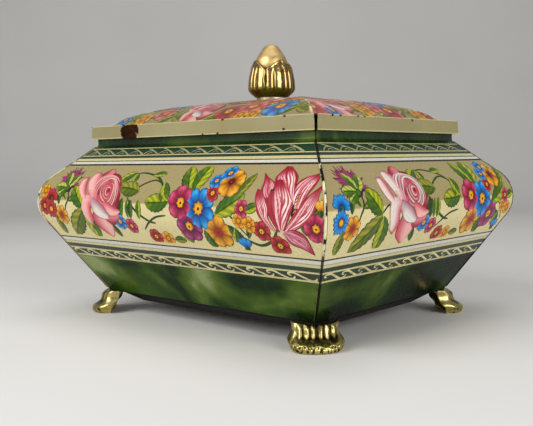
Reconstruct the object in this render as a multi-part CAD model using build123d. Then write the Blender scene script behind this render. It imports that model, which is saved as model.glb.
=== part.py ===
from build123d import *
import math
import os

# A footed tin casket with a hinged, domed lid, a bulging body, four claw feet and an acorn finial.
# Millimetres, +Z up. The origin is on the floor, midway between the four feet. +X runs along the
# long side, the front faces -Y, and the hinge is on the back.
#
# The four sides share one set of cross-sections. A section is drawn with x as the distance outward
# from the lid skirt's face and y as the height, and the sides meet in 45 degree mitres.

# Lid skirt, outside, and the sheet that everything is pressed from
LENGTH = 150.0
WIDTH = 118.0
SHEET = 0.4
SEAM_GAP = 0.1  # between two sheets that meet at a corner
OVERRUN = 1.0  # how far a cut runs past what it cuts

# Heights above the floor
BODY_BOTTOM = 11.2
BULGE = 61.94  # where the two slopes of the body would meet, before they are rounded
NECK_BOTTOM = 87.64
NECK_TOP = 97.0
SKIRT_BOTTOM = 90.94
LID_FOLD = 97.5
CREST = 109.7
FINIAL_TOP = 138.3

# Distances outward from the lid skirt's face
NECK_OUT = -2.34
BULGE_OUT = 25.56
BODY_BOTTOM_OUT = -5.06
SKIRT_FLARE = 0.43

# Radii of the bends in the body's section
NECK_BEND = 1.2
BULGE_BEND = 18.3
BOTTOM_BEND = 0.6
FLANGE_WIDTH = 1.9
HEM = 0.8  # thickness of an edge that is folded double
HEM_ROUND = 0.36
NECK_HEM_HEIGHT = 2.5
SKIRT_HEM_HEIGHT = 1.3

# Lid: a flat ledge inside the fold, then two arcs up to the crest
LEDGE_WIDTH = 6.5
DOME_KNEE = (-21.5, 105.0)
CORNER_SLIT = 0.65  # half of the slit between two skirt flaps
CORNER_SLIT_REACH = 2.0  # how far the slit's cut runs either way from the corner
CORNER_NOTCH_RADIUS = 1.1

# Raised lip of the folded corner seam
LIP_WIDTH = 1.0
LIP_RETURN = 0.4
LIP_HEIGHT = 0.3
LIP_LIFT = 0.03  # clearance over the sheet it laps
LIP_ENDS = (12.2, 87.14)  # heights

# Base pan
PAN_LEDGE = 1.25
PAN_BOTTOM = 5.8
PAN_BOTTOM_OUT = -13.6
PAN_TOP_RADIUS = 10.0
PAN_BOTTOM_RADIUS = 12.0
PAN_EDGE_RADIUS = 1.6

# Hinge on the back
PIN_RADIUS = 0.7
PIN_CLEARANCE = 0.05
PIN_HEIGHT = 92.1
PIN_OUT = -0.8
KNUCKLE_RADIUS = 1.15
KNUCKLE_SPAN = 120.0
STRAP_WIDTH = 10.0
STRAP_SPACING = 36.0
STRAP_THICKNESS = 0.5
STRAP_BOTTOM = 88.2
STRAP_RIVET_HEIGHT = 89.5
STRAP_RIVET_SPACING = 6.0
STRAP_RIVET_RADIUS = 0.6
STRAP_RIVET_HEAD = 0.9
KNUCKLE_GAP = 0.3
KNUCKLE_REACH = 3.0  # either way from the pin, cut from the lid at a strap

# Feet, measured from the body's bottom corner, outward along the diagonal
FOOT_SHELL = 0.9
FOOT_PAD = 1.2
FOOT_PLATE = (10.1, 10.75)
FOOT_LEVELS = (  # height, front, half of the width, back
    (0.0, 7.8, 9.8, -1.6),
    (1.6, 9.2, 10.9, -2.0),
    (3.2, 8.5, 11.7, -2.8),
    (5.0, 6.3, 11.5, -4.6),
    (7.0, 4.6, 10.2, -5.5),
    (9.0, 4.1, 9.8, -6.1),
    (10.4, 3.1, 10.0, -6.4),
    (12.4, 0.6, 10.2, -6.4),
)
FOOT_MIDDLE = 0.35  # where the straight wings end, from the back to the front
FOOT_WING_TOP = 12.0
FOOT_CLEARANCE = 0.1
FOOT_RIVET_IN = 3.4
FOOT_RIVET_RADIUS = 0.8
FOOT_RIVET_HEAD = 1.4
RIVET_HEAD_HEIGHT = 0.6
RIVET_ROOM = 0.3  # between a rivet's head and the wall's flange

# Finial
COLLAR_RADIUS = 7.7
COLLAR_TOP = 111.2
COLLAR_GAP = 0.03
COLLAR_ROUND = 0.4
CUP_BASE_RADIUS = 8.4
CUP_RADIUS = 12.2
CUP_WIDEST = 115.4
CUP_TIP_RADIUS = 9.0
CUP_TIP = 130.0
CUP_VALLEY = 126.7
CUP_WALL = 0.8
PETALS = 4
PETAL_TURN = 25.0  # degrees from +X to the first valley between petals
EGG_RADIUS = 8.3
EGG_WIDEST = 128.0
EGG_SHOULDER = (5.8, 134.1)
EGG_BASE = 120.5
EGG_STEM_RADIUS = 3.2
SCREW_RADIUS = 2.0
SCREW_TIP = 122.0
SCREW_CLEARANCE = 0.06
SCREW_HEAD_RADIUS = 3.6
SCREW_HEAD_HEIGHT = 2.2
SCREW_SLOT = 0.9
WASHER_RADIUS = 5.0
WASHER_HEIGHT = 0.8
WASHER_TOP = 109.2

REACH = 140.0  # longer than anything in plan
TOP = 150.0  # higher than anything
RIDGE = (LENGTH - WIDTH) / 2  # half of the flat crest along X, which the mitres run in from
SIDES = {"front": (0, -1), "back": (0, 1), "left": (-1, 0), "right": (1, 0)}
CORNERS = {
    "front_left": (-1, -1),
    "front_right": (1, -1),
    "rear_right": (1, 1),
    "rear_left": (-1, 1),
}


def side_plane(side):
    """The plane of one side's cross-section: x outward from the lid skirt's face, y up."""
    dx, dy = SIDES[side]
    half = LENGTH / 2 if dx else WIDTH / 2
    return Plane(origin=(dx * half, dy * half, 0), x_dir=(dx, dy, 0), z_dir=(dy, -dx, 0))


def wedge(side, gap=0.0, band=None):
    """The part of plan space between one side's mitres, pulled back from each of them by gap. A band
    keeps only the strip of that width along each mitre."""
    dx, dy = SIDES[side]
    spread = -RIDGE if dx else RIDGE
    start = max(0.0, gap - spread)

    def plan(n, t):
        return (dx * n - dy * t, dy * n + dx * t)

    def edge(n):
        return n + spread - gap

    outline = [(start, edge(start)), (REACH, edge(REACH)), (REACH, -edge(REACH)), (start, -edge(start))]
    if start > 0:
        outline.pop()
    prism = extrude(make_face(Polyline(*[plan(*p) for p in outline], close=True)), TOP)
    if band:
        prism -= wedge(side, gap + band)
    return prism


def slab(section, side):
    """A section carried along the whole of one side."""
    return extrude(side_plane(side) * section, REACH, both=True)


def block(x0, x1, y0, y1, z0, z1):
    """A box between two corners."""
    return Pos((x0 + x1) / 2, (y0 + y1) / 2, (z0 + z1) / 2) * Box(x1 - x0, y1 - y0, z1 - z0)


def rod(radius, z0, z1, x=0.0, y=0.0):
    """An upright cylinder."""
    return Pos(x, y, (z0 + z1) / 2) * Cylinder(radius, z1 - z0)


def panel(x0, x1, z0, z1):
    """A rectangle in a cross-section."""
    return Pos((x0 + x1) / 2, (z0 + z1) / 2) * Rectangle(x1 - x0, z1 - z0)


# Body walls


def body_line():
    """The outer line of the body's section, from the neck's top to the flange under the body."""
    return FilletPolyline(
        (NECK_OUT, NECK_TOP),
        (NECK_OUT, NECK_BOTTOM),
        (BULGE_OUT, BULGE),
        (BODY_BOTTOM_OUT, BODY_BOTTOM),
        (BODY_BOTTOM_OUT - FLANGE_WIDTH, BODY_BOTTOM),
        radius=[NECK_BEND, BULGE_BEND, BOTTOM_BEND],
    )


def wall_section():
    """The bent sheet of a wall, with its neck hemmed inward."""
    sheet = make_face(offset(body_line(), SHEET, side=Side.RIGHT))
    hem = panel(NECK_OUT - HEM, NECK_OUT, NECK_TOP - NECK_HEM_HEIGHT, NECK_TOP)
    hem = fillet(hem.vertices().group_by(Axis.Y)[-1], HEM_ROUND)
    return sheet + hem


def lip_section(lift):
    """The sheet of the seam's lip, which lies lift above the wall."""
    upper = make_face(offset(body_line(), LIP_HEIGHT, side=Side.LEFT))
    if lift:
        upper -= make_face(offset(body_line(), lift, side=Side.LEFT))
    else:
        upper += wall_section()
    return upper & panel(-REACH, REACH, *LIP_ENDS)


def foot_rivet_places():
    """The plan position of each foot's rivet, inside the body's bottom corner."""
    inward = FOOT_RIVET_IN / math.sqrt(2)
    half_x, half_y = LENGTH / 2 + BODY_BOTTOM_OUT, WIDTH / 2 + BODY_BOTTOM_OUT
    return [(sx * (half_x - inward), sy * (half_y - inward)) for sx, sy in CORNERS.values()]


def strap_places():
    """The X positions of the hinge straps."""
    return [-STRAP_SPACING, 0.0, STRAP_SPACING]


def strap_rivet_places():
    """The X positions of the rivets, two in each strap."""
    half = STRAP_RIVET_SPACING / 2
    return [x + side * half for x in strap_places() for side in (-1, 1)]


def cross_hole(x, z, radius):
    """A hole through the back wall and a strap, along Y."""
    face = WIDTH / 2 + NECK_OUT
    return Pos(x, face, z) * Rot(90, 0, 0) * Cylinder(radius, 3 * OVERRUN)


def wall(side):
    """One wall of the body. The left and right walls carry the seams' lips over their neighbours."""
    ends = side in ("left", "right")
    body = slab(wall_section(), side) & wedge(side, 0.0 if ends else SEAM_GAP)
    if ends:
        body += slab(lip_section(0), side) & wedge(side, 0.0, LIP_RETURN)
        for neighbour in ("front", "back"):
            lap = slab(lip_section(LIP_LIFT), neighbour) & wedge(neighbour, 0.0, LIP_WIDTH)
            sx = SIDES[side][0]
            body += lap & block(min(0, sx * REACH), max(0, sx * REACH), -REACH, REACH, 0, TOP)
    for x, y in foot_rivet_places():
        top = BODY_BOTTOM + RIVET_HEAD_HEIGHT + RIVET_ROOM
        body -= rod(FOOT_RIVET_HEAD + RIVET_ROOM, BODY_BOTTOM - OVERRUN, top, x, y)
    if side == "back":
        for x in strap_rivet_places():
            body -= cross_hole(x, STRAP_RIVET_HEIGHT, STRAP_RIVET_RADIUS + PIN_CLEARANCE)
    return body


# Base


def rounded_plan(out, radius, z):
    """A rounded rectangle at height z, whose sides lie out from the lid skirt's faces."""
    return Pos(0, 0, z) * RectangleRounded(LENGTH + 2 * out, WIDTH + 2 * out, radius)


def pan_dish(grow):
    """The solid inside the dish of the base, grown outward, or inward where grow is negative."""
    top = BODY_BOTTOM - SHEET
    upper = rounded_plan(BODY_BOTTOM_OUT - PAN_LEDGE + grow, PAN_TOP_RADIUS + grow, top)
    lower = rounded_plan(PAN_BOTTOM_OUT + grow, PAN_BOTTOM_RADIUS + grow, PAN_BOTTOM - grow)
    dish = loft([lower, upper])
    return fillet(dish.faces().sort_by(Axis.Z)[0].edges(), PAN_EDGE_RADIUS + grow)


def base_pan():
    """The black pan under the body: a flat ledge below the walls' flanges, and a shallow dish."""
    ledge = block(
        -LENGTH / 2 - BODY_BOTTOM_OUT, LENGTH / 2 + BODY_BOTTOM_OUT,
        -WIDTH / 2 - BODY_BOTTOM_OUT, WIDTH / 2 + BODY_BOTTOM_OUT,
        BODY_BOTTOM - SHEET, BODY_BOTTOM,
    )  # fmt: skip
    hollow = pan_dish(-SHEET)
    mouth = extrude(hollow.faces().sort_by(Axis.Z)[-1], 2 * SHEET)
    pan = ledge + pan_dish(0.0) - hollow - mouth
    for x, y in foot_rivet_places():
        pan -= rod(FOOT_RIVET_RADIUS + PIN_CLEARANCE, 0, BODY_BOTTOM + OVERRUN, x, y)
    return pan


# Feet


def foot_outline(height, front, half, back, inset):
    """One level of a foot: straight wings, and half an ellipse round the front."""
    middle = back + FOOT_MIDDLE * (front - back)
    half = half - inset
    rear = back - 3 * inset
    nose = EllipticalCenterArc((middle, 0), front - inset - middle, half, -90, arc_size=180)
    edges = [
        Line((rear, half), (rear, -half)),
        Line((rear, -half), (middle, -half)),
        nose,
        Line((middle, half), (rear, half)),
    ]
    return Pos(0, 0, height) * make_face(edges)


def foot_shape(inset):
    """The foot's outer form, or the space inside it, which is open at the back."""
    return loft([foot_outline(*level, inset) for level in FOOT_LEVELS])


def foot():
    """A foot in its own frame: +X outward on the diagonal, the body's bottom corner over the origin."""
    low, high = FOOT_PLATE
    floor = block(-REACH, REACH, -REACH, REACH, -OVERRUN, FOOT_PAD)
    plate = block(-REACH, REACH, -REACH, REACH, low, high)
    shell = foot_shape(0.0) - (foot_shape(FOOT_SHELL) - floor - plate)
    wide = 2 * FOOT_LEVELS[2][2]
    dip = ThreePointArc((-wide / 2, FOOT_WING_TOP), (0, high), (wide / 2, FOOT_WING_TOP))
    above = make_face([dip, Polyline(dip @ 1, (wide / 2, TOP), (-wide / 2, TOP), dip @ 0)])
    return shell - extrude(Plane.YZ * above, REACH, both=True)


def body_corner_space():
    """The space that the body and its base take, with a little clearance, above the feet."""
    out, low, high = BODY_BOTTOM_OUT + FOOT_CLEARANCE, BODY_BOTTOM - SHEET, BULGE
    slope = (BULGE_OUT - BODY_BOTTOM_OUT) / (BULGE - BODY_BOTTOM)
    lower = rounded_plan(out, FOOT_CLEARANCE, low)
    upper = rounded_plan(out + slope * (high - low), FOOT_CLEARANCE, high)
    return loft([lower, upper]) + pan_dish(FOOT_CLEARANCE / 2)


def place_foot(piece, corner):
    """Turns a piece from the foot's own frame to its corner of the body."""
    sx, sy = CORNERS[corner]
    place = (sx * (LENGTH / 2 + BODY_BOTTOM_OUT), sy * (WIDTH / 2 + BODY_BOTTOM_OUT), 0)
    return Pos(*place) * Rot(0, 0, math.degrees(math.atan2(sy, sx))) * piece


def corner_foot(corner):
    """One foot, trimmed clear of the body and drilled for its rivet."""
    piece = place_foot(foot(), corner) - body_corner_space()
    for x, y in foot_rivet_places():
        piece -= rod(FOOT_RIVET_RADIUS + PIN_CLEARANCE, FOOT_PAD + OVERRUN, TOP, x, y)
    return max(piece.solids(), key=lambda solid: solid.volume)


def foot_rivets():
    """The four rivets that hold the feet to the base's ledge."""
    low, high = FOOT_PLATE[0], BODY_BOTTOM
    rivets = []
    for x, y in foot_rivet_places():
        shank = rod(FOOT_RIVET_RADIUS, low - RIVET_HEAD_HEIGHT, high + RIVET_HEAD_HEIGHT, x, y)
        under = rod(FOOT_RIVET_HEAD, low - RIVET_HEAD_HEIGHT, low, x, y)
        over = rod(FOOT_RIVET_HEAD, high, high + RIVET_HEAD_HEIGHT, x, y)
        under = fillet(under.edges().group_by(Axis.Z)[0], RIVET_HEAD_HEIGHT / 2)
        over = fillet(over.edges().group_by(Axis.Z)[-1], RIVET_HEAD_HEIGHT / 2)
        rivets.append(shank + under + over)
    return Compound(children=rivets)


# Lid


def dome_line():
    """The outer line of the dome's section, from the crest to the ledge's inner edge."""
    crown = TangentArc((-WIDTH / 2, CREST), DOME_KNEE, tangent=(1, 0))
    haunch = TangentArc(crown @ 1, (-LEDGE_WIDTH, LID_FOLD), tangent=crown % 1)
    return crown, haunch


def skirt_out(z):
    """How far the flaring skirt's face lies outward at height z."""
    return SKIRT_FLARE * (LID_FOLD - z) / (LID_FOLD - SKIRT_BOTTOM)


def lid_section(skirt_end, hemmed):
    """The bent sheet of the lid, from the crest over the fold and down the skirt to skirt_end."""
    crown, haunch = dome_line()
    ledge = Edge.make_line((-LEDGE_WIDTH, LID_FOLD), (0, LID_FOLD))
    drop = Edge.make_line((0, LID_FOLD), (skirt_out(skirt_end), skirt_end))
    section = make_face(offset(Wire([crown, haunch, ledge, drop]), SHEET, side=Side.RIGHT))
    if hemmed:
        edge = skirt_out(skirt_end)
        section += panel(edge - HEM, edge - SHEET / 2, skirt_end, skirt_end + SKIRT_HEM_HEIGHT)
    return section


def pin_line(radius, x0, x1):
    """A cylinder about the hinge's axis."""
    centre = (x0 + x1) / 2
    return Pos(centre, WIDTH / 2 + PIN_OUT, PIN_HEIGHT) * Rot(0, 90, 0) * Cylinder(radius, x1 - x0)


def knuckle_spans():
    """Where along X the lid's rear edge curls round the pin, between the straps."""
    half = STRAP_WIDTH / 2 + KNUCKLE_GAP
    stops = [-KNUCKLE_SPAN / 2]
    for x in strap_places():
        stops += [x - half, x + half]
    stops.append(KNUCKLE_SPAN / 2)
    return list(zip(stops[::2], stops[1::2]))


def lid_shell():
    """The lid, pressed from one sheet: dome, ledge and four skirt flaps with a slit at each corner."""
    hemmed, curled = lid_section(SKIRT_BOTTOM, True), lid_section(PIN_HEIGHT, False)
    lid = None
    for side in SIDES:
        quarter = slab(hemmed, side) & wedge(side)
        if side == "back":
            middle = block(-KNUCKLE_SPAN / 2, KNUCKLE_SPAN / 2, 0, REACH, 0, TOP)
            quarter = quarter - middle + (slab(curled, side) & wedge(side) & middle)
        lid = quarter if lid is None else lid + quarter
    for x0, x1 in knuckle_spans():
        lid += pin_line(KNUCKLE_RADIUS, x0, x1)
        lid -= pin_line(PIN_RADIUS + PIN_CLEARANCE, x0 - KNUCKLE_GAP, x1 + KNUCKLE_GAP)
    loop = KNUCKLE_RADIUS + KNUCKLE_GAP
    half = STRAP_WIDTH / 2 + KNUCKLE_GAP
    y, low, high = WIDTH / 2 + PIN_OUT, SKIRT_BOTTOM - OVERRUN, PIN_HEIGHT + loop
    for x in strap_places():
        lid -= block(x - half, x + half, y - KNUCKLE_REACH, y + KNUCKLE_REACH, low, high)
    for sx, sy in CORNERS.values():
        corner = Pos(sx * LENGTH / 2, sy * WIDTH / 2, 0)
        reach, low, high = CORNER_SLIT_REACH, SKIRT_BOTTOM - OVERRUN, LID_FOLD - 2 * SHEET
        slit = block(-reach, reach, -CORNER_SLIT, CORNER_SLIT, low, high)
        lid -= corner * Rot(0, 0, math.degrees(math.atan2(sy, sx))) * slit
        lid -= corner * rod(CORNER_NOTCH_RADIUS, LID_FOLD - 3 * SHEET, LID_FOLD - SHEET / 2)
    return lid - rod(SCREW_RADIUS + SCREW_CLEARANCE, LID_FOLD, TOP)


def hinge_wire():
    """The wire that the lid's curls and the straps' loops go round."""
    return pin_line(PIN_RADIUS, -KNUCKLE_SPAN / 2, KNUCKLE_SPAN / 2)


def hinge_strap(x):
    """A strap riveted to the neck, with a loop for the wire."""
    half = STRAP_WIDTH / 2
    face = WIDTH / 2 + NECK_OUT
    strap = block(x - half, x + half, face, face + STRAP_THICKNESS, STRAP_BOTTOM, PIN_HEIGHT)
    strap += pin_line(KNUCKLE_RADIUS, x - half, x + half) - block(
        x - half, x + half, face - OVERRUN, face, 0, TOP
    )
    strap -= pin_line(PIN_RADIUS + PIN_CLEARANCE, x - half, x + half)
    for rivet_x in strap_rivet_places():
        strap -= cross_hole(rivet_x, STRAP_RIVET_HEIGHT, STRAP_RIVET_RADIUS + PIN_CLEARANCE)
    return strap


def hinge_rivets():
    """Six small rivets through the straps and the neck."""
    face = WIDTH / 2 + NECK_OUT
    inner, outer = face - SHEET, face + STRAP_THICKNESS
    head = RIVET_HEAD_HEIGHT / 2
    rivets = []
    for x in strap_rivet_places():
        along = Pos(x, 0, STRAP_RIVET_HEIGHT) * Rot(-90, 0, 0)
        rivets.append(
            along * rod(STRAP_RIVET_RADIUS, inner - head, outer + head)
            + along * rod(STRAP_RIVET_HEAD, inner - head, inner)
            + along * rod(STRAP_RIVET_HEAD, outer, outer + head)
        )
    return Compound(children=rivets)


# Finial


def crest_cylinder(gap):
    """The round crest of the dome, about an axis along X, with a gap over it."""
    crown, _ = dome_line()
    return Pos(0, 0, CREST - crown.radius) * Rot(0, 90, 0) * Cylinder(crown.radius + gap, LENGTH)


def turned(outline):
    """A solid turned about the finial's axis from an outline of radius and height."""
    return revolve(Plane.XZ * outline, Axis.Z)


def finial_collar():
    """The ring between the dome and the cup, hollowed below to sit on the crest."""
    ring = rod(COLLAR_RADIUS, CREST - OVERRUN, COLLAR_TOP) - crest_cylinder(COLLAR_GAP)
    ring = fillet(ring.edges().group_by(Axis.Z)[-1], COLLAR_ROUND)
    return ring - rod(SCREW_RADIUS + SCREW_CLEARANCE, CREST - 2 * OVERRUN, TOP)


def cup_line():
    """The outer line of the cup's section, from its base to the tips of its petals."""
    base = TangentArc((CUP_RADIUS, CUP_WIDEST), (CUP_BASE_RADIUS, COLLAR_TOP), tangent=(0, -1))
    side = TangentArc((CUP_RADIUS, CUP_WIDEST), (CUP_TIP_RADIUS, CUP_TIP), tangent=(0, 1))
    floor = Edge.make_line((0, COLLAR_TOP), (CUP_BASE_RADIUS, COLLAR_TOP))
    return Wire([floor, base, side])


def finial_cup():
    """The cup of four pointed petals that the egg stands in."""
    cup = turned(make_face(offset(cup_line(), CUP_WALL, side=Side.LEFT)))
    half = CUP_TIP_RADIUS * math.sin(math.pi / PETALS)
    sides = [(half, CUP_TIP), (half, TOP), (-half, TOP), (-half, CUP_TIP)]
    valley = make_face(Polyline((0, CUP_VALLEY), *sides, close=True))
    notch = extrude(Plane.YZ * valley, REACH)
    for petal in range(PETALS):
        cup -= Rot(0, 0, PETAL_TURN + petal * 360 / PETALS) * notch
    return cup - rod(SCREW_RADIUS + SCREW_CLEARANCE, CREST, TOP)


def finial_nut():
    """The smooth egg, which is the nut on the finial's screw."""
    floor = COLLAR_TOP + CUP_WALL
    upper = Spline((0, FINIAL_TOP), EGG_SHOULDER, (EGG_RADIUS, EGG_WIDEST), tangents=((1, 0), (0, -1)))
    lower = TangentArc((EGG_RADIUS, EGG_WIDEST), (EGG_STEM_RADIUS, EGG_BASE), tangent=(0, -1))
    stem = Polyline((EGG_STEM_RADIUS, EGG_BASE), (EGG_STEM_RADIUS, floor), (0, floor), (0, FINIAL_TOP))
    egg = turned(make_face([upper, lower, stem]))
    return egg - rod(SCREW_RADIUS + SCREW_CLEARANCE, floor - OVERRUN, SCREW_TIP + OVERRUN)


def finial_washer():
    """The washer inside the lid."""
    ring = rod(WASHER_RADIUS, WASHER_TOP - WASHER_HEIGHT, WASHER_TOP)
    return ring - rod(SCREW_RADIUS + SCREW_CLEARANCE, CREST - 5 * OVERRUN, TOP)


def finial_screw():
    """The slotted screw, put in from inside the lid."""
    seat = WASHER_TOP - WASHER_HEIGHT
    head = rod(SCREW_HEAD_RADIUS, seat - SCREW_HEAD_HEIGHT, seat)
    head = fillet(head.edges().group_by(Axis.Z)[0], SCREW_HEAD_HEIGHT / 2)
    slot = block(-REACH, REACH, -SCREW_SLOT / 2, SCREW_SLOT / 2, 0, seat - SCREW_HEAD_HEIGHT / 2)
    return head - slot + rod(SCREW_RADIUS, seat, SCREW_TIP)


def model():
    """Every piece, by name."""
    pieces = {f"{side}_wall": wall(side) for side in SIDES}
    pieces["base_pan"] = base_pan()
    for corner in CORNERS:
        pieces[f"foot_{corner}"] = corner_foot(corner)
    pieces["foot_rivets"] = foot_rivets()
    for name, x in zip(("left", "centre", "right"), strap_places()):
        pieces[f"hinge_strap_{name}"] = hinge_strap(x)
    pieces["hinge_rivets"] = hinge_rivets()
    pieces["hinge_wire"] = hinge_wire()
    pieces["lid_shell"] = lid_shell()
    pieces["finial_collar"] = finial_collar()
    pieces["finial_cup"] = finial_cup()
    pieces["finial_nut"] = finial_nut()
    pieces["finial_washer"] = finial_washer()
    pieces["finial_screw"] = finial_screw()
    return pieces


os.makedirs("parts", exist_ok=True)
for node, shape in model().items():
    export_step(shape, f"parts/{node}.step")
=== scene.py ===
import math

import bmesh
import bpy
import numpy as np
from mathutils import Matrix, Vector, noise


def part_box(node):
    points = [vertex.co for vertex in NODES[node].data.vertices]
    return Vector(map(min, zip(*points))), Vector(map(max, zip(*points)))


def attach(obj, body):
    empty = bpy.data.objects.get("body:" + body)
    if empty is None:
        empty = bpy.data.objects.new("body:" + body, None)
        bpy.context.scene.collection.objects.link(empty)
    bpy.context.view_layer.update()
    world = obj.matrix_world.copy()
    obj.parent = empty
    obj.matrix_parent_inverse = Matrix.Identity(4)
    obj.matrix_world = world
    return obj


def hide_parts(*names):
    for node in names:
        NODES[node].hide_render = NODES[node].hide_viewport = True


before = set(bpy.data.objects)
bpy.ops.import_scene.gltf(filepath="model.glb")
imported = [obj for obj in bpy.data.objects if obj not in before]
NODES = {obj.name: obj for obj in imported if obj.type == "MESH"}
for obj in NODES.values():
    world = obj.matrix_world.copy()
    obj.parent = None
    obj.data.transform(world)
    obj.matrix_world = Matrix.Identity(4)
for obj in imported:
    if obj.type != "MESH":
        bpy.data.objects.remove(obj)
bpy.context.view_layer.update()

MM = 0.001

# ---------------------------------------------------------------------------------------------
# The casket's own measures, in millimetres, in the frame's axes. A section has e, the distance
# outward from the lid skirt's face, and z, the height.

LID_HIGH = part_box("lid_shell")[1]
SKIRT_FLARE = 0.43
HALF_X = LID_HIGH.x / MM - SKIRT_FLARE
HALF_Y = LID_HIGH.y / MM - SKIRT_FLARE
CREST = LID_HIGH.z / MM
LID_FOLD = CREST - 12.2
SKIRT_BOTTOM = 90.94
LEDGE = 6.5
KNEE = (21.5, 7.5)  # inset and height where the dome's two arcs meet
NECK = (-2.34, 87.64)
APEX = (25.56, 61.94)
BOTTOM = (-5.06, 11.2)
BULGE_RADIUS = 18.3

SIDES = {"front": (0, -1), "right": (1, 0), "back": (0, 1), "left": (-1, 0)}
CORNERS = {"front_left": (-1, -1), "front_right": (1, -1), "rear_right": (1, 1), "rear_left": (-1, 1)}


def unit(x, y):
    """The direction of (x, y)."""
    length = math.hypot(x, y)
    return x / length, y / length


class Section:
    """The body's outer line below the neck: a straight shoulder, the round bulge and a straight flank.
    It is walked by its own length s, from the neck down."""

    def __init__(self):
        self.down = unit(APEX[0] - NECK[0], APEX[1] - NECK[1])
        self.back = unit(BOTTOM[0] - APEX[0], BOTTOM[1] - APEX[1])
        self.turn = math.acos(self.down[0] * self.back[0] + self.down[1] * self.back[1])
        cut = BULGE_RADIUS * math.tan(self.turn / 2)
        self.shoulder = math.dist(NECK, APEX) - cut
        self.arc = BULGE_RADIUS * self.turn
        self.flank = math.dist(APEX, BOTTOM) - cut
        self.length = self.shoulder + self.arc + self.flank
        self.start = (NECK[0] + self.down[0] * self.shoulder, NECK[1] + self.down[1] * self.shoulder)
        self.centre = (
            self.start[0] + self.down[1] * BULGE_RADIUS,
            self.start[1] - self.down[0] * BULGE_RADIUS,
        )
        self.end = (APEX[0] + self.back[0] * cut, APEX[1] + self.back[1] * cut)

    def at(self, s):
        """(e, z, outward part of the normal, upward part of the normal) at length s."""
        if s < self.shoulder:
            point, line = (NECK[0] + self.down[0] * s, NECK[1] + self.down[1] * s), self.down
        elif s < self.shoulder + self.arc:
            angle = math.atan2(self.down[0], -self.down[1]) - (s - self.shoulder) / BULGE_RADIUS
            line = (math.sin(angle), -math.cos(angle))
            point = (self.centre[0] - line[1] * BULGE_RADIUS, self.centre[1] + line[0] * BULGE_RADIUS)
        else:
            rest = s - self.shoulder - self.arc
            line = self.back
            point = (self.end[0] + line[0] * rest, self.end[1] + line[1] * rest)
        return point[0], point[1], -line[1], line[0]

    def s_at(self, z):
        """The length s at height z."""
        low, high = 0.0, self.length
        for _ in range(40):
            middle = (low + high) / 2
            if self.at(middle)[1] > z:
                low = middle
            else:
                high = middle
        return (low + high) / 2


SECTION = Section()


def dome_height(inset):
    """The dome's height over the lid's fold, at a distance in from the skirt's face."""
    crown_rise = CREST - LID_FOLD - KNEE[1]
    run = HALF_Y - KNEE[0]
    crown = (run * run + crown_rise * crown_rise) / (2 * crown_rise)
    if inset >= KNEE[0]:
        return CREST - LID_FOLD - crown + math.sqrt(max(0.0, crown**2 - (HALF_Y - min(inset, HALF_Y)) ** 2))
    if inset <= LEDGE:
        return 0.0
    slope = math.asin(run / crown)
    away, up = math.sin(slope), -math.cos(slope)
    dx, dz = KNEE[0] - LEDGE, KNEE[1]
    haunch = -(dx * dx + dz * dz) / (2 * (dx * away + dz * up))
    return KNEE[1] + up * haunch + math.sqrt(haunch**2 - (inset - KNEE[0] - away * haunch) ** 2)


def half_of(side):
    """Half of the lid skirt across the way that a side faces."""
    return HALF_X if SIDES[side][0] else HALF_Y


def reach_of(side):
    """Half of the lid skirt along a side."""
    return HALF_Y if SIDES[side][0] else HALF_X


def wall_place(side):
    """Maps (u, v, lift) on a body side to the frame: u to the right, s down the section, lift outward."""
    dx, dy = SIDES[side]

    def place(u, s, lift):
        e, z, out, up = SECTION.at(s)
        n = half_of(side) + e + out * lift
        return Vector((dx * n - dy * u, dy * n + dx * u, z + up * lift)) * MM

    return place


def dome_place(side):
    """Maps (u, inset, lift) on a dome side to the frame: u to the right, inset from the skirt's face."""
    dx, dy = SIDES[side]

    def height(x, y):
        return LID_FOLD + dome_height(min(HALF_X - abs(x), HALF_Y - abs(y)))

    def place(u, inset, lift):
        n = half_of(side) - inset
        x, y = dx * n - dy * u, dy * n + dx * u
        step = 0.2
        normal = Vector(
            (height(x - step, y) - height(x + step, y), height(x, y - step) - height(x, y + step), 2 * step)
        ).normalized()
        return (Vector((x, y, height(x, y))) + normal * lift) * MM

    return place


# ---------------------------------------------------------------------------------------------
# Colour helpers


def linear(colour):
    """An sRGB colour of 0 to 255 as linear light."""
    return tuple((c / 255 / 12.92) if c <= 10.3 else ((c / 255 + 0.055) / 1.055) ** 2.4 for c in colour)


def mix(a, b, share):
    """A colour between a and b."""
    share = min(1.0, max(0.0, share))
    return tuple(x + (y - x) * share for x, y in zip(a, b))


def smooth(low, high, x):
    """0 below low, 1 above high and smooth between."""
    x = min(1.0, max(0.0, (x - low) / (high - low)))
    return x * x * (3 - 2 * x)


# Inks
ROSE_DEEP, ROSE, ROSE_PALE = (148, 30, 58), (196, 86, 102), (236, 190, 182)
CRIMSON, CRIMSON_PALE = (156, 20, 48), (246, 220, 214)
BLUE_DEEP, BLUE, BLUE_PALE = (2, 62, 112), (8, 128, 200), (120, 198, 232)
MAGENTA_DEEP, MAGENTA, MAGENTA_PALE = (100, 14, 52), (182, 50, 92), (224, 128, 154)
PURPLE_DEEP, PURPLE, PURPLE_PALE = (84, 16, 68), (154, 46, 108), (200, 112, 160)
ORANGE_DEEP, ORANGE, ORANGE_PALE = (136, 76, 10), (214, 154, 26), (238, 198, 88)
RED_DEEP, RED, RED_PALE = (92, 10, 24), (172, 38, 50), (214, 104, 96)
GREEN_DEEP, GREEN, GREEN_PALE = (16, 52, 20), (80, 120, 24), (190, 192, 44)
STEM = (44, 92, 30)
WHITE, SHADOW_BLUE = (226, 222, 212), (150, 168, 180)
YELLOW, INK = (232, 176, 30), (36, 16, 20)
GOLD_LINE = (200, 184, 130)


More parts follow.
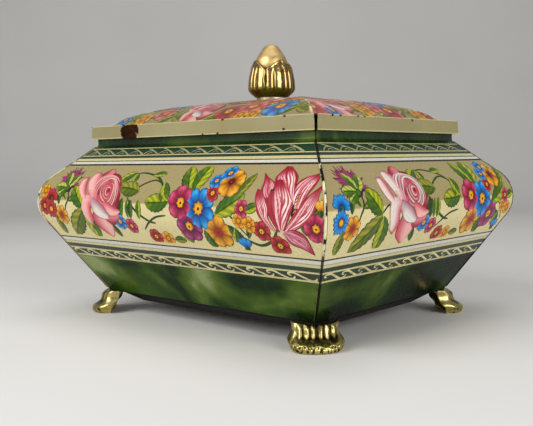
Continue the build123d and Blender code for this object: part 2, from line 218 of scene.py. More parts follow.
def petal_paint(root, body, rim):
    """A narrow petal's colour by distance along, x, and across, j: root to body, with a pale middle."""

    def paint(x, j):
        colour = mix(root, body, smooth(0.0, 0.45, x))
        colour = mix(colour, rim, 0.55 * smooth(0.3, 0.8, x) * (1 - abs(j)))
        dark = max(smooth(0.6, 1.0, abs(j)), smooth(0.93, 1.0, x))
        return mix(colour, mix(root, INK, 0.4), 0.6 * dark)

    return paint


def bloom_paint(deep, body, pale):
    """A flower petal's colour: deep at the root, a pale patch near the tip, veins and a dark outline."""

    def paint(x, j):
        colour = mix(deep, body, smooth(0.10, 0.50, x))
        patch = smooth(0.45, 0.80, x) * smooth(1.0, 0.86, x) * (1 - abs(j + 0.2) ** 1.5)
        colour = mix(colour, pale, 0.75 * max(0.0, patch))
        wave = 0.5 + 0.5 * math.sin(3 * math.pi * j + 1.6)
        colour = mix(colour, deep, 0.40 * wave * smooth(1.0, 0.3, x))
        dark = max(smooth(0.76, 0.98, abs(j)), smooth(0.92, 1.0, x))
        return mix(colour, mix(deep, INK, 0.6), 0.92 * dark)

    return paint


def leaf_paint(light, dark, midrib=GREEN_DEEP):
    """A leaf's colour: one half light, the other darker, a midrib, side veins and an outline."""

    def paint(x, j):
        colour = mix(light, dark, smooth(-0.25, 0.35, j))
        colour = mix(colour, light, 0.5 * smooth(0.5, 1.0, x))
        vein = 0.5 + 0.5 * math.sin(26 * x - 7 * abs(j))
        colour = mix(colour, midrib, 0.30 * vein)
        colour = mix(colour, midrib, 0.85 * smooth(0.14, 0.02, abs(j)))
        return mix(colour, midrib, 0.85 * max(smooth(0.78, 1.0, abs(j)), smooth(0.95, 1.0, x)))

    return paint


LEAF_BRIGHT = leaf_paint(GREEN_PALE, GREEN)
LEAF_DARK = leaf_paint((96, 132, 34), (34, 82, 28))
LEAF_OLIVE = leaf_paint((168, 164, 50), (104, 122, 24))


def blunt(x):
    """A round petal's width along its length."""
    return (0.30 + 0.70 * min(1.0, x / 0.58)) * math.sqrt(max(0.0, 1 - max(0.0, (x - 0.58) / 0.42) ** 2.2))


OUTLINES = {
    "leaf": lambda x: 2.75 * x**0.8 * (1 - x) ** 0.72,
    "petal": blunt,
    "round": lambda x: 2 * math.sqrt(max(0.0, x * (1 - x))),
    "spike": lambda x: min(1.0, 4 * x + 0.4) * (1 - x) ** 0.6,
}


# ---------------------------------------------------------------------------------------------
# Raised print: patches of ink in a side's own flat millimetres, laid on its surface


class Print:
    """A layer of raised ink on one surface."""

    SINK = -0.05
    LAYER = 0.008
    BASE = 0.03
    CEILING = 0.28  # the ink's lift above the tin never reaches this
    PETAL_CROWN, STROKE_CROWN = 0.09, 0.04  # how far a petal's and a stroke's middle stands up

    def __init__(self, place, origin=0.0, upward=-1.0, limit=None):
        self.place, self.origin, self.upward = place, origin, upward
        self.limit = limit or (lambda u, v: (u, v))
        self.points, self.faces, self.colours, self.outward = [], [], [], []
        self.home = self.frame = (0, 0)
        self.level = self.BASE

    def pose(self, x, y):
        """Moves the drawing frame."""
        self.frame = (x, y)

    def put(self, x, y, lift, colour):
        """Adds a point, and returns its index."""
        u, v = self.limit(self.frame[0] + x, self.frame[1] + y)
        v = self.origin + self.upward * v
        half = self.CEILING / 2
        if lift > half:
            lift = half + half * (1 - math.exp((half - lift) / half))
        base, top = self.place(u, v, 0.0), self.place(u, v, lift)
        self.points.append(top)
        self.outward.append(self.place(u, v, 1.0) - base)
        self.colours.append(linear(colour) + (1.0,))
        return len(self.points) - 1

    def patch(self, rows):
        """Adds a grid of (x, y, height, colour) rows, with its edges turned down into the surface."""
        wide = len(rows[0])
        grid = [[self.put(x, y, self.level + h, c) for x, y, h, c in row] for row in rows]
        for upper, lower in zip(grid, grid[1:]):
            for a, b, c, d in zip(upper, upper[1:], lower[1:], lower):
                self.faces.append((a, b, c, d))
        border = [(0, j) for j in range(wide)]
        border += [(i, wide - 1) for i in range(1, len(rows))]
        border += [(len(rows) - 1, j) for j in range(wide - 2, -1, -1)]
        border += [(i, 0) for i in range(len(rows) - 2, 0, -1)]
        ring = [grid[i][j] for i, j in border]
        foot = [self.put(rows[i][j][0], rows[i][j][1], self.SINK, rows[i][j][3]) for i, j in border]
        for k in range(len(ring)):
            n = (k + 1) % len(ring)
            self.faces.append((ring[k], foot[k], foot[n], ring[n]))
        self.level += self.LAYER

    def blade(self, at, angle, length, width, paint, outline="leaf", bend=0.0, rows=9, cols=6,
              crown=0.05, notch=0.0, teeth=0):
        """A petal or leaf from at, along angle, on a midrib that bends."""
        x, y = at
        heading = math.radians(angle)
        grid = []
        for i in range(rows + 1):
            along = i / rows
            half = width / 2 * OUTLINES[outline](along)
            half = max(0.02, half * (1 + (0.07 if teeth else 0.0) * math.cos(2 * math.pi * teeth * along)))
            hx, hy = math.cos(heading), math.sin(heading)
            row = []
            for k in range(cols + 1):
                j = 2 * k / cols - 1
                back = notch * length * (1 - abs(j)) ** 2 * along**3
                lift = crown * (1 - j * j) * math.sin(math.pi * min(1.0, along + 0.1))
                row.append((x - hy * half * j - hx * back, y + hx * half * j - hy * back, lift,
                            paint(along, j)))
            grid.append(row)
            x += hx * length / rows
            y += hy * length / rows
            heading += math.radians(bend) / rows
        self.patch(grid)

    def form(self, left, right, paint, rows=14, cols=10):
        """A petal between its two edges, each drawn from root to tip."""
        edges = [spread(smooth_path(edge, 8), rows) for edge in (left, right)]
        grid = []
        for i, ((ax, ay), (bx, by)) in enumerate(zip(*edges)):
            row = []
            for k in range(cols + 1):
                share = k / cols
                j = 2 * share - 1
                row.append((ax + (bx - ax) * share, ay + (by - ay) * share,
                            self.PETAL_CROWN * (1 - j * j), paint(i / rows, j)))
            grid.append(row)
        self.patch(grid)

    def line(self, points, width, colour, taper=0.6, steps=6):
        """A stem or stroke through points, on a smooth curve."""
        path = smooth_path(points, steps)
        grid = []
        for i, (x, y) in enumerate(path):
            before, after = path[max(0, i - 1)], path[min(len(path) - 1, i + 1)]
            hx, hy = unit(after[0] - before[0], after[1] - before[1])
            along = i / (len(path) - 1)
            half = width / 2 * (1 - taper * abs(2 * along - 1) ** 3)
            row = []
            for j in (-1, -0.5, 0, 0.5, 1):
                shade = mix(colour, tuple(c * 0.55 for c in colour), abs(j) ** 2 * 0.8)
                lift = self.STROKE_CROWN * (1 - j * j)
                row.append((x - hy * half * j, y + hx * half * j, lift, shade))
            grid.append(row)
        self.patch(grid)

    def disc(self, x, y, radius, colour, edge, lobes=0, depth=0.0, crown=0.06, tall=1.0, turn=0.0):
        """A round, oval or scalloped centre."""
        around, rings = 24, 4
        c, s = math.cos(math.radians(turn)), math.sin(math.radians(turn))
        grid = []
        for i in range(rings + 1):
            share = max(0.03, i / rings)
            row = []
            for k in range(around + 1):
                angle = 2 * math.pi * k / around
                r = radius * share * (1 - depth * 0.5 * (1 - math.cos(lobes * angle)) * share)
                px, py = r * math.cos(angle), r * tall * math.sin(angle)
                row.append((x + px * c - py * s, y + px * s + py * c, crown * (1 - share * share),
                            mix(colour, edge, smooth(0.5, 1.0, share))))
            grid.append(row)
        self.patch(grid)

    def finish(self, name, body, material):
        """Makes the mesh object."""
        faces = []
        for face in self.faces:
            a, b, c, d = (self.points[i] for i in face)
            normal = (b - a).cross(c - b) + (c - b).cross(d - c)
            faces.append(face if normal.dot(self.outward[face[0]]) >= 0 else face[::-1])
        obj = make_object(name, self.points, faces, material, body)
        layer = obj.data.color_attributes.new("ink", "FLOAT_COLOR", "POINT")
        layer.data.foreach_set("color", np.array(self.colours, np.float32).ravel())
        return obj


def smooth_path(points, steps):
    """Points along a Catmull-Rom curve through the given points."""
    path = []
    last = len(points) - 1
    for i in range(last):
        p0, p1 = points[max(0, i - 1)], points[i]
        p2, p3 = points[i + 1], points[min(last, i + 2)]
        for k in range(steps):
            t = k / steps
            path.append(tuple(
                0.5 * (2 * b + (c - a) * t + (2 * a - 5 * b + 4 * c - d) * t * t
                       + (3 * b - a - 3 * c + d) * t**3)
                for a, b, c, d in zip(p0, p1, p2, p3)))
    path.append(tuple(points[-1]))
    return path


def spread(path, count):
    """A path as count + 1 points at even distances."""
    reach = [0.0]
    for a, b in zip(path, path[1:]):
        reach.append(reach[-1] + math.dist(a, b))
    even = np.linspace(0.0, reach[-1], count + 1)
    xs, ys = zip(*path)
    return list(zip(np.interp(even, reach, xs), np.interp(even, reach, ys)))


def make_object(name, points, faces, material, body):
    """A smooth mesh object that rides on a body."""
    mesh = bpy.data.meshes.new(name)
    mesh.from_pydata([tuple(p) for p in points], [], [list(f) for f in faces])
    mesh.materials.append(material)
    mesh.shade_smooth()
    obj = bpy.data.objects.new(name, mesh)
    bpy.context.scene.collection.objects.link(obj)
    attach(obj, body)
    return obj


# ---------------------------------------------------------------------------------------------
# Flowers, each drawn about the print's frame origin


def root_of(angle, away):
    """Where a petal at an angle begins, away from the flower's middle."""
    a = math.radians(angle)
    return away * math.cos(a), away * math.sin(a)


def open_flower(ink, size, petals, colours, centre=YELLOW, eye=INK, turn=0.0):
    """A flat flower of broad round petals with a scalloped centre."""
    deep, body, pale = colours
    radius = size / 2
    width = 1.5 * radius * math.tan(math.pi / petals)
    paint = bloom_paint(deep, body, pale)
    for k in range(petals):
        angle = turn + 360 * k / petals
        ink.blade(root_of(angle, radius * 0.1), angle, radius * 0.9, width, paint, "petal",
                  rows=12, cols=12, notch=0.08, crown=0.08)
    ink.disc(0, 0, radius * 0.42, mix(deep, INK, 0.6), deep, lobes=8, depth=0.2, crown=0.02)
    ink.disc(0, 0, radius * 0.35, centre, mix(centre, ORANGE_DEEP, 0.6), lobes=8, depth=0.25)
    ink.disc(0, 0, radius * 0.17, eye, mix(eye, ORANGE_DEEP, 0.4))


def daisy(ink, size, colours, petals, turn=6.0, fan=360.0):
    """A flower of many narrow petals, all round a yellow middle or in a fan."""
    deep, body, _ = colours
    radius, full = size / 2, fan == 360.0
    ink.disc(0, 0, radius * (0.72 if full else 0.45), deep, body, lobes=petals, depth=0.1, crown=0.02)
    for k in range(petals):
        angle = fan * k / petals + turn
        reach = radius * (0.80 + 0.08 * math.sin(2.3 * k))
        ink.blade(root_of(angle, radius * 0.2), angle, reach, radius * 0.40, petal_paint(*colours), "petal",
                  rows=7, cols=6, notch=0.12)
    if full:
        ink.disc(0, 0, radius * 0.40, INK, deep, lobes=10, depth=0.1, crown=0.02)
        ink.disc(0, 0, radius * 0.34, YELLOW, ORANGE_DEEP, lobes=10, depth=0.12)


def folded(shade, light, shade_at):
    """A folded petal: light, with one edge in shade, faint veins and a thin outline."""

    def paint(x, j):
        colour = mix(light, shade, smooth(-0.3, 1.0, j * shade_at) ** 1.3)
        colour = mix(colour, shade, 0.6 * smooth(0.45, 0.0, x))
        colour = mix(colour, shade, 0.16 * (0.5 + 0.5 * math.sin(15 * j + 2 * x)))
        dark = max(smooth(0.88, 1.0, abs(j)), smooth(0.95, 1.0, x))
        return mix(colour, mix(shade, INK, 0.3), 0.75 * dark)

    return paint


def rose(ink, size, outer=ROSE_PALE, rings=8):
    """A full rose seen from the left: broad outer petals, a whorl and a pale folded petal."""
    k = size / 36

    def at(*points):
        return [(x * k, y * k) for x, y in points]

    def petal(left, right, paint):
        ink.form(at(*left), at(*right), paint)

    pink, turned = folded(ROSE, ROSE_PALE, 1), folded(ROSE, ROSE_PALE, -1)
    deep, pale = folded(ROSE_DEEP, mix(ROSE, ROSE_PALE, 0.5), -1), folded(ROSE, outer, 1)
    petal([(3, 2), (0, 8), (0, 14), (4, 18)], [(9, 4), (9, 10), (10, 15), (7, 18.4)], deep)
    petal([(0, -3), (-9, 1), (-13, 6), (-12.5, 12)], [(1, -1), (-5, 3), (-7, 8), (-8.5, 12.5)], pale)
    petal([(1, -2), (-4, 4), (-7, 10), (-5.5, 15.5)], [(6, 1), (3, 7), (1.5, 13), (-2, 15.8)], pale)
    petal([(3, 1), (-6, 3), (-9.5, -3), (-6, -12)], [(4, -1), (-1, -4), (-0.5, -9), (-2.5, -14)], pale)
    petal([(2, -3), (-1, -9), (1, -15), (7.5, -19.5)], [(9, -5), (12, -9), (12.5, -14), (9.5, -19)], turned)
    petal([(5, -6), (9, -11), (15, -12), (20.5, -9)], [(9, -3), (13, -5.5), (18, -5.5), (21, -6.5)], deep)
    ink.disc(9.5 * k, 3.0 * k, 12.4 * k, ROSE, ROSE_DEEP, crown=0.01, tall=0.98, turn=-30)
    whorl(ink, k, rings, outer)
    petal([(-1, -1), (1.5, -6.5), (6.5, -9), (12, -9)], [(0.5, 1.5), (4, 0), (8.5, -2.5), (13, -7.5)],
          folded(mix(SHADOW_BLUE, ROSE, 0.5), WHITE, 1))
    petal([(9, -2), (13, -7), (18, -7), (22, -5)], [(10, 0.5), (14, -1), (18, -3), (22, -4.4)], pink)


def whorl(ink, k, rings, outer):
    """The rose's rolled centre: pale petal edges, nested toward an eye at the upper right."""
    for ring in range(rings):
        share = 1 - ring / rings
        cx, cy = mix((12.0, 5.0), (9.3, 3.0), share)
        reach = 11.2 * share + 0.6
        start = 95 - 61 * ring
        sweep = 285 if ring % 2 else 235
        path = []
        for step in range(15):
            a = math.radians(start + sweep * step / 14)
            swell = reach * (1 + 0.05 * math.sin(3 * a + ring))
            path.append(((cx + swell * 0.98 * math.cos(a)) * k, (cy + swell * math.sin(a)) * k))
        colour = mix(outer, ROSE, 0.0 if ring % 2 else 0.3)
        ink.line(path, (0.7 + 0.8 * share) * k, colour, taper=0.85, steps=2)
    ink.disc(12 * k, 5 * k, 0.9 * k, ROSE_DEEP, ROSE_DEEP)


def streaked(lean=1.0, dark=CRIMSON, light=CRIMSON_PALE, fill=0.0):
    """A lily petal: fine crimson veins that sweep out from a midrib, and crimson edges."""

    def paint(x, j):
        phase = 20 * abs(j) - lean * 13 * x + 1.6 * math.sin(4.3 * j + 7 * x)
        vein = smooth(-0.1, 0.85, math.sin(phase))
        flush = smooth(0.1, 0.8, 0.5 + 0.5 * math.sin(5.0 * x + 3.5 * j + lean))
        share = max(vein * (0.55 + 0.45 * smooth(0.1, 0.6, abs(j) + 0.4 * x)), fill + 0.16 * flush)
        colour = mix(light, dark, share)
        colour = mix(colour, dark, 0.9 * max(smooth(0.60, 0.90, abs(j)), smooth(0.62, 0.92, x)))
        colour = mix(colour, dark, 0.85 * smooth(0.12, 0.03, abs(j)))
        return mix(colour, INK, 0.55 * max(smooth(0.93, 1.0, abs(j)), smooth(0.97, 1.0, x)))

    return paint


def lily(ink):
    """The striped crimson flower: pointed petals that open upward from a root at (-5, -9)."""
    stripe, back = streaked(), streaked(-0.6, fill=0.15)
    shade = streaked(0.6, fill=0.7)
    petals = (
        (back, [(-5, -2), (-13, 6), (-14, 11), (-16.5, 16)], [(0, 0), (-6, 6), (-7, 10), (-13, 13.5)]),
        (streaked(0.5), [(3, 2), (-5, 8), (-9, 13), (-7, 19.6)], [(5, 3), (3.5, 9), (2, 14), (-4, 19.4)]),
        (streaked(-0.5), [(4, 0), (3, 8), (5.5, 13), (12.5, 16)], [(8, 0), (10.5, 5), (13, 10), (13, 15.4)]),
        (shade, [(-4, -10), (-8, -3), (-11, 2), (-9, 7)], [(-3, -9), (-3, -2), (-3, 4), (-6, 8)]),
        (stripe, [(-6, -10), (-13, -4), (-15.5, 3), (-15.6, 7.5)],
         [(-5, -9.5), (-8, -4), (-8, 1), (-13.5, 7)]),
        (stripe, [(-4, -9), (-7, -2), (-7.5, 6), (-7, 12)], [(-1, -9), (3, -3), (5, 4), (-4, 12)]),
        (stripe, [(-1, -9), (4, -3), (9, 3), (16, 9.6)], [(1, -10), (10, -6), (15, -1), (16.6, 9)]),
    )
    for paint, left, right in petals:
        rows, cols = (14, 10) if paint is shade else (40, 28)
        ink.form(left, right, paint, rows, cols)
    for spot in range(6):
        x, y = 5.6 + 0.35 * spot, -1.0 + 1.35 * spot
        ink.line([(3.6, -3), (4.6 + 0.15 * spot, y - 1.2), (x, y)], 0.35, INK, taper=0.2, steps=2)
        ink.disc(x, y, 0.55, ORANGE, RED_DEEP)
    ink.form([(-1, -9.5), (4, -8.2), (9, -11), (10, -19.4)], [(-2, -10), (0, -15), (5, -17), (9.6, -19.6)],
             streaked(1.0, (164, 44, 76), (226, 180, 186)), rows=30, cols=20)


def thistle(ink):
    """A purple tuft, 24 mm across, behind four green sepals that spring from (5, 6)."""
    tuft = petal_paint(PURPLE_DEEP, (158, 44, 104), (206, 110, 164))
    ink.disc(4.5, 10, 7.5, PURPLE_DEEP, PURPLE_DEEP, lobes=11, depth=0.2, crown=0.02)
    for ring, (reach, count) in enumerate(((12.2, 37), (10.4, 31), (8.2, 25))):
        for i in range(count):
            turn = i / (count - 1)
            angle = -6 + 212 * turn + 4 * math.sin(5.1 * i + ring)
            length = reach * (0.86 + 0.14 * math.sin(7.7 * i + 2 * ring))
            length *= 0.78 + 0.22 * math.sin(math.pi * turn)
            ink.blade((5, 8), angle, length, 2.0, tuft, "spike", rows=6, cols=3, crown=0.03)
            ink.level -= 0.9 * ink.LAYER
    sepal = leaf_paint((204, 208, 104), GREEN)
    for angle, length, width in ((205, 8, 5.5), (51, 10, 5.6), (171, 10.5, 5.6), (108, 10.5, 5.6)):
        ink.blade((5.8, 5.9), angle, length, width, sepal, "leaf", 14, rows=14, cols=10)
    ink.disc(5.8, 5.6, 1.8, GREEN, GREEN_DEEP)


def bud(ink, size, colours):
    """A small closed flower on a sepal."""
    k = size / 8
    for angle in (60, 120, 90):
        ink.blade((0, 0), angle, 5.5 * k, 3.8 * k, petal_paint(*colours), "petal", rows=7, cols=6)
    ink.blade((0, 1.2 * k), 268, 3.6 * k, 3.0 * k, LEAF_DARK, "round", rows=5, cols=4)


def leaves(ink, *leafs):
    """Leaves, each (x, y, angle, length, width, bend, paint)."""
    for x, y, angle, length, width, bend, paint in leafs:
        big = length > 9
        ink.blade((x, y), angle, length, width, paint, "leaf", bend, rows=28 if big else 10,
                  cols=12 if big else 8, crown=0.07, teeth=7 if big else 0)


BLUES = (BLUE_DEEP, BLUE, BLUE_PALE)
MAGENTAS = (MAGENTA_DEEP, MAGENTA, MAGENTA_PALE)
PURPLES = (PURPLE_DEEP, PURPLE, PURPLE_PALE)
ORANGES = (ORANGE_DEEP, ORANGE, ORANGE_PALE)
REDS = (RED_DEEP, RED, RED_PALE)
PINKS = (ROSE_DEEP, ROSE, ROSE_PALE)


def flower_at(ink, x, y, size, petals, colours, turn=0.0, **more):
    """An open flower at a place in the cluster."""
    fx, fy = ink.home
    ink.pose(fx + x, fy + y)
    ink.level = ink.BASE + 0.05
    open_flower(ink, size, petals, colours, turn=turn, **more)
    ink.pose(fx, fy)


def start(ink, x, y):
    """Makes (x, y) the cluster's home, on a fresh level."""
    ink.home = (x, y)
    ink.pose(x, y)
    ink.level = ink.BASE


def thistle_group(ink, x, tint):
    """The thistle, a tuft and small flowers below it, and a spray of three broad leaves."""
    start(ink, x, 0)
    ink.line([(6, 6), (7.6, 2.6), (7.4, -0.6), (5.4, -3.6), (4, -8)], 1.0, GREEN_DEEP)
    ink.line([(7.4, -0.6), (10, 1.4), (10.5, -0.5), (8, -0.8)], 1.2, GREEN)
    ink.line([(20, -4), (24, -1), (27, 0)], 0.8, GREEN_DEEP)
    leaves(ink, (20.7, -3.8, 139, 14.5, 10, -16, LEAF_BRIGHT), (20.8, -4.2, 222, 22.2, 11, 8, LEAF_OLIVE),
           (21.6, -4.6, 287, 17.6, 9, -10, LEAF_BRIGHT))
    leaves(ink, (-4.9, -9, 276, 11.5, 5.5, 8, LEAF_OLIVE), (-0.6, -2.8, 84, 6.4, 3.2, 0, LEAF_DARK),
           (6, 0, 128, 5, 2.6, -10, LEAF_BRIGHT), (-7, -3, 90, 4.4, 3, 0, LEAF_DARK))
    thistle(ink)
    ink.pose(x - 7.2, -0.2)
    ink.level = ink.BASE + 0.04
    daisy(ink, 12, tint, petals=9, turn=4, fan=172)
    flower_at(ink, 0.8, -8.4, 11, 7, ORANGES, turn=20, centre=RED, eye=RED_DEEP)
    ink.pose(x - 7.4, -5.4)
    daisy(ink, 10, tint, petals=14)


def rose_group(ink, x, outer):
    """The big rose, and small flowers at its foot."""
    start(ink, x, 0)
    leaves(ink, (12, -11, 292, 9, 4, 10, LEAF_DARK), (21, -9, 80, 11, 4.2, -8, LEAF_DARK),
           (27, -8, 84, 9, 3.6, 10, LEAF_BRIGHT))
    rose(ink, 36, outer)
    flower_at(ink, 20, -10, 9, 7, BLUES, turn=12)
    flower_at(ink, 27.5, -12, 8.5, 6, MAGENTAS, turn=4)


def vine_group(ink, x):
    """A climbing stem with pairs of leaves, and two small flowers under it."""
    start(ink, x, 0)
    ink.line([(-15, 15), (-8, 15.5), (2, 13), (8, 9), (11, 4), (14, 1)], 1.1, STEM)
    ink.line([(-12, 3), (-6, 8), (2, 11), (8, 9)], 0.9, STEM)
    ink.line([(-14, 2), (-8, -4), (0, -8.5), (5, -9.5)], 1.2, STEM)
    ink.line([(-5, -13.5), (0, -9.5), (6, -6.5), (13, -5.5)], 1.0, STEM)
    leaves(ink, (-15, 16, 212, 11, 6, 10, LEAF_BRIGHT), (-13, 15, 266, 6, 4.5, 16, LEAF_BRIGHT),
           (-2, 14, 12, 9, 4, -14, LEAF_BRIGHT), (-6, 5, 166, 15, 8.5, 16, LEAF_OLIVE),
           (10, 10, 286, 10, 6.5, 14, LEAF_BRIGHT), (15, 1, 190, 16, 9, -14, LEAF_BRIGHT),
           (-12, -8, 88, 9, 4, -8, LEAF_DARK), (-6, -8, 84, 9, 4, 10, LEAF_BRIGHT),
           (8, 4, 300, 6, 4, 20, LEAF_OLIVE))
    flower_at(ink, 1, -17, 9, 6, REDS, turn=8)
    flower_at(ink, 9, -17.5, 8, 6, ORANGES, turn=30, eye=RED_DEEP)
    leaves(ink, (13, -18, 10, 8, 4, -20, LEAF_OLIVE))


def bouquet_group(ink, x, turned=False):
    """The dense bunch: magenta, blue, purple and orange flowers with long leaves."""
    start(ink, x, 0)
    ink.line([(16, 0), (24, -6), (30, -14)], 0.8, GREEN_DEEP)
    leaves(ink, (-3, 5, 124, 17, 8.5, -10, LEAF_BRIGHT), (-1, 5, 82, 16, 10.5, 6, LEAF_BRIGHT),
           (-7, -7, 262, 12, 8, 24, LEAF_OLIVE), (6, -10, 272, 11, 7, 12, LEAF_DARK),
           (13, -4, 24, 19, 9, 10, LEAF_BRIGHT), (20, -8, 300, 11, 6, 18, LEAF_DARK),
           (25, 4, 50, 13, 5, 30, LEAF_OLIVE), (30, -2, 20, 8, 4.5, 0, LEAF_BRIGHT),
           (24, -9, 250, 8, 4.5, 0, LEAF_BRIGHT))
    flower_at(ink, 10.5, 11, 8, 6, BLUES)
    flower_at(ink, 15.5, 15.5, 9, 6, BLUES, turn=20)
    flower_at(ink, 11, 5, 8, 7, REDS, turn=14)
    flower_at(ink, 19.5, 10.5, 14.5, 5, ORANGES, turn=16, centre=RED_DEEP, eye=RED)
    flower_at(ink, -7.8, 0.4, 17, 6, MAGENTAS, turn=38)
    low = ((13, PURPLES), (-4, ORANGES)) if turned else ((-4, PURPLES), (13, ORANGES))
    flower_at(ink, low[0][0], -10, 16, 6, PURPLES, turn=0)
    flower_at(ink, low[1][0], -11.8, 16.4, 6, ORANGES, turn=10, centre=RED, eye=RED_DEEP)
    flower_at(ink, 3.5, -1.8, 19.5, 8, BLUES, turn=26, eye=RED_DEEP)
    flower_at(ink, 28.5, -1, 8, 6, MAGENTAS)
    flower_at(ink, 26.5, -6, 7, 6, ORANGES)
    flower_at(ink, 32, -7.5, 7.5, 6, ORANGES, turn=20)
    ink.pose(x + 26, -19)
    bud(ink, 8, BLUES)


def lily_group(ink, x):
    """The striped lily on its curved stem, with small flowers round it."""
    start(ink, x, 0)
    ink.line([(-26, -13), (-17, -17), (-9, -14), (-4, -8)], 1.4, STEM)
    ink.line([(0, -8), (6, -6), (12, -7)], 0.8, GREEN)
    leaves(ink, (8, -5, 300, 7, 4, 0, LEAF_DARK), (-22, -14, 60, 8, 3, 10, LEAF_DARK),
           (14, -2, 40, 6, 2.5, 0, LEAF_DARK))
    ink.level = ink.BASE + 0.03
    lily(ink)
    flower_at(ink, -13, -10, 9.5, 6, REDS, turn=10)
    flower_at(ink, -6, -16.5, 10.5, 6, REDS, turn=26)
    flower_at(ink, 15, -7.5, 13, 6, MAGENTAS, turn=0)
    ink.pose(x + 18, -1)
    bud(ink, 7, ORANGES)


BAND_MIDDLE = 36.0  # length s at the middle of the flower band
BAND_REACH = 20.0


def band_limit(side):
    """Keeps the print inside the flower band and short of the corner seams."""
    reach = reach_of(side)

    def limit(u, v):
        v = max(-BAND_REACH, min(BAND_REACH, v))
        end = reach + SECTION.at(BAND_MIDDLE - v)[0] - 1.3
        return max(-end, min(end, u)), v

    return limit


def print_walls(material):
    """The flower band of each side. The long sides have room for the lily."""
    for side in SIDES:
        ink = Print(wall_place(side), BAND_MIDDLE, limit=band_limit(side))
        long = side in ("front", "back")
        thistle_group(ink, -76 if long else -63, REDS if long else BLUES)
        rose_group(ink, -48 if long else -28, ROSE_PALE if long else WHITE)
        vine_group(ink, -7 if long else 8)
        bouquet_group(ink, 24 if long else 41, not long)
        if long:
            lily_group(ink, 75)
            start(ink, -89, 0)
            flower_at(ink, 0, 4, 8, 6, ORANGES)
            flower_at(ink, 0, -4, 10, 7, REDS, centre=ORANGE)
        ink.finish(f"{side}_flowers", "casket", material)


# Bunches on the lid's slopes: kind or colours, place along the slope, place up it, and size
LONG_SLOPE = (
    ("leaves", -54, 11, 15), (BLUES, -60, 11, 9), (ORANGES, -45, 11, 11), (PINKS, -33, 16, 14),
    ("leaves", -23, 12, 20), ("rose", -8, 16, 25), (REDS, 14, 13, 16), (PINKS, 26, 17, 18),
    (ORANGES, 25, 9.5, 8), (ORANGES, 32, 9.5, 8), (MAGENTAS, 36, 20, 14), (BLUES, 44, 15, 18),
    ("leaves", 55, 13, 18),
    ("leaves", -40, 28, 20), (MAGENTAS, -47, 27, 12), ("rose", -22, 36, 26), (BLUES, -33, 30, 12),
    (ORANGES, -12, 33, 13), ("leaves", 0, 36, 22), (REDS, 6, 31, 13), (PINKS, 16, 32, 15),
    ("rose", 28, 38, 24), (BLUES, 18, 44, 12), (ORANGES, 44, 30, 12), (MAGENTAS, -6, 44, 13),
)
SHORT_SLOPE = (
    (PINKS, -46, 13, 19), (BLUES, -35, 10, 9), ("rose", -29, 17, 25), ("leaves", -10, 11, 17),
    (ORANGES, -8, 13, 13), (PINKS, 3, 17, 15), (MAGENTAS, 13, 13, 18), (BLUES, 14, 21, 12),
    ("leaves", 26, 13, 18), (ORANGES, 37, 11, 10), (REDS, 45, 11, 8),
    ("leaves", -20, 32, 20), ("rose", -3, 34, 24), (MAGENTAS, -24, 27, 13), (ORANGES, 12, 33, 12),
    (BLUES, 22, 27, 12), (REDS, -12, 44, 11), ("leaves", 10, 45, 17), (PINKS, 2, 47, 13),
)


def slope_limit(side):
    """Keeps the print on its own slope, off the ledge and clear of the finial's collar."""
    half, reach = half_of(side), reach_of(side)

    def limit(u, v):
        v = max(LEDGE + 0.4, min(half - 9.5, v))
        end = reach - v - 0.5
        return max(-end, min(end, u)), v

    return limit


def print_dome(material):
    """Bunches of flowers on the four slopes of the lid."""
    for side in SIDES:
        ink = Print(dome_place(side), 0.0, 1.0, slope_limit(side))
        for k, (kind, x, y, size) in enumerate(LONG_SLOPE if side in ("front", "back") else SHORT_SLOPE):
            start(ink, x, y)
            if kind == "rose":
                leaves(ink, (0, 0, 200, size * 0.55, size * 0.24, 10, LEAF_BRIGHT))
                ink.level = ink.BASE + 0.03
                ink.pose(x - size * 0.12, y)
                rose(ink, size, rings=5)
            elif kind == "leaves":
                for way in (20, 75, 140, 205, 330):
                    leaves(ink, (0, 0, way + 9 * (k % 4), size * 0.52, size * 0.26, 10,
                                 LEAF_BRIGHT if way % 2 else LEAF_OLIVE))
            else:
                leaves(ink, (0, 0, 200 + 40 * (k % 3), size * 0.8, size * 0.36, 10, LEAF_BRIGHT))
                flower_at(ink, 0, 0, size, 5 + k % 3, kind, turn=20 * k)
        ink.finish(f"{side}_lid_flowers", "lid", material)


# ---------------------------------------------------------------------------------------------
# Gold scroll bands

SCROLL_PITCH = 11.5
# Each band: its top and bottom, and strokes of a width through points. A point is in shares of the pitch
# across and of half of the band up.
HOOK = ((0.14, 0.05), (0.02, 0.25), (0.03, 0.68), (0.18, 0.92), (0.34, 0.84), (0.52, 0.35), (0.76, -0.35),
        (0.95, -0.84), (1.10, -0.95), (1.21, -0.72), (1.27, -0.35), (1.28, -0.05))
ARCH = ((0.0, -1.0), (0.12, -0.30), (0.30, 0.22), (0.48, 0.30), (0.66, 0.0), (0.80, -0.45), (0.96, -1.0))
SLANT = ((0.14, 1.0), (0.36, 0.74), (0.60, 0.22), (0.84, -0.35), (1.08, -1.0))
CURL = ((0.30, -0.75), (0.40, -0.30), (0.54, -0.32), (0.60, -0.65))
SCROLL_BANDS = (
    (34.2, 31.1, ((HOOK, 0.95),)),
    (85.3, 82.35, ((ARCH, 0.5), (SLANT, 0.7), (CURL, 0.35))),
)


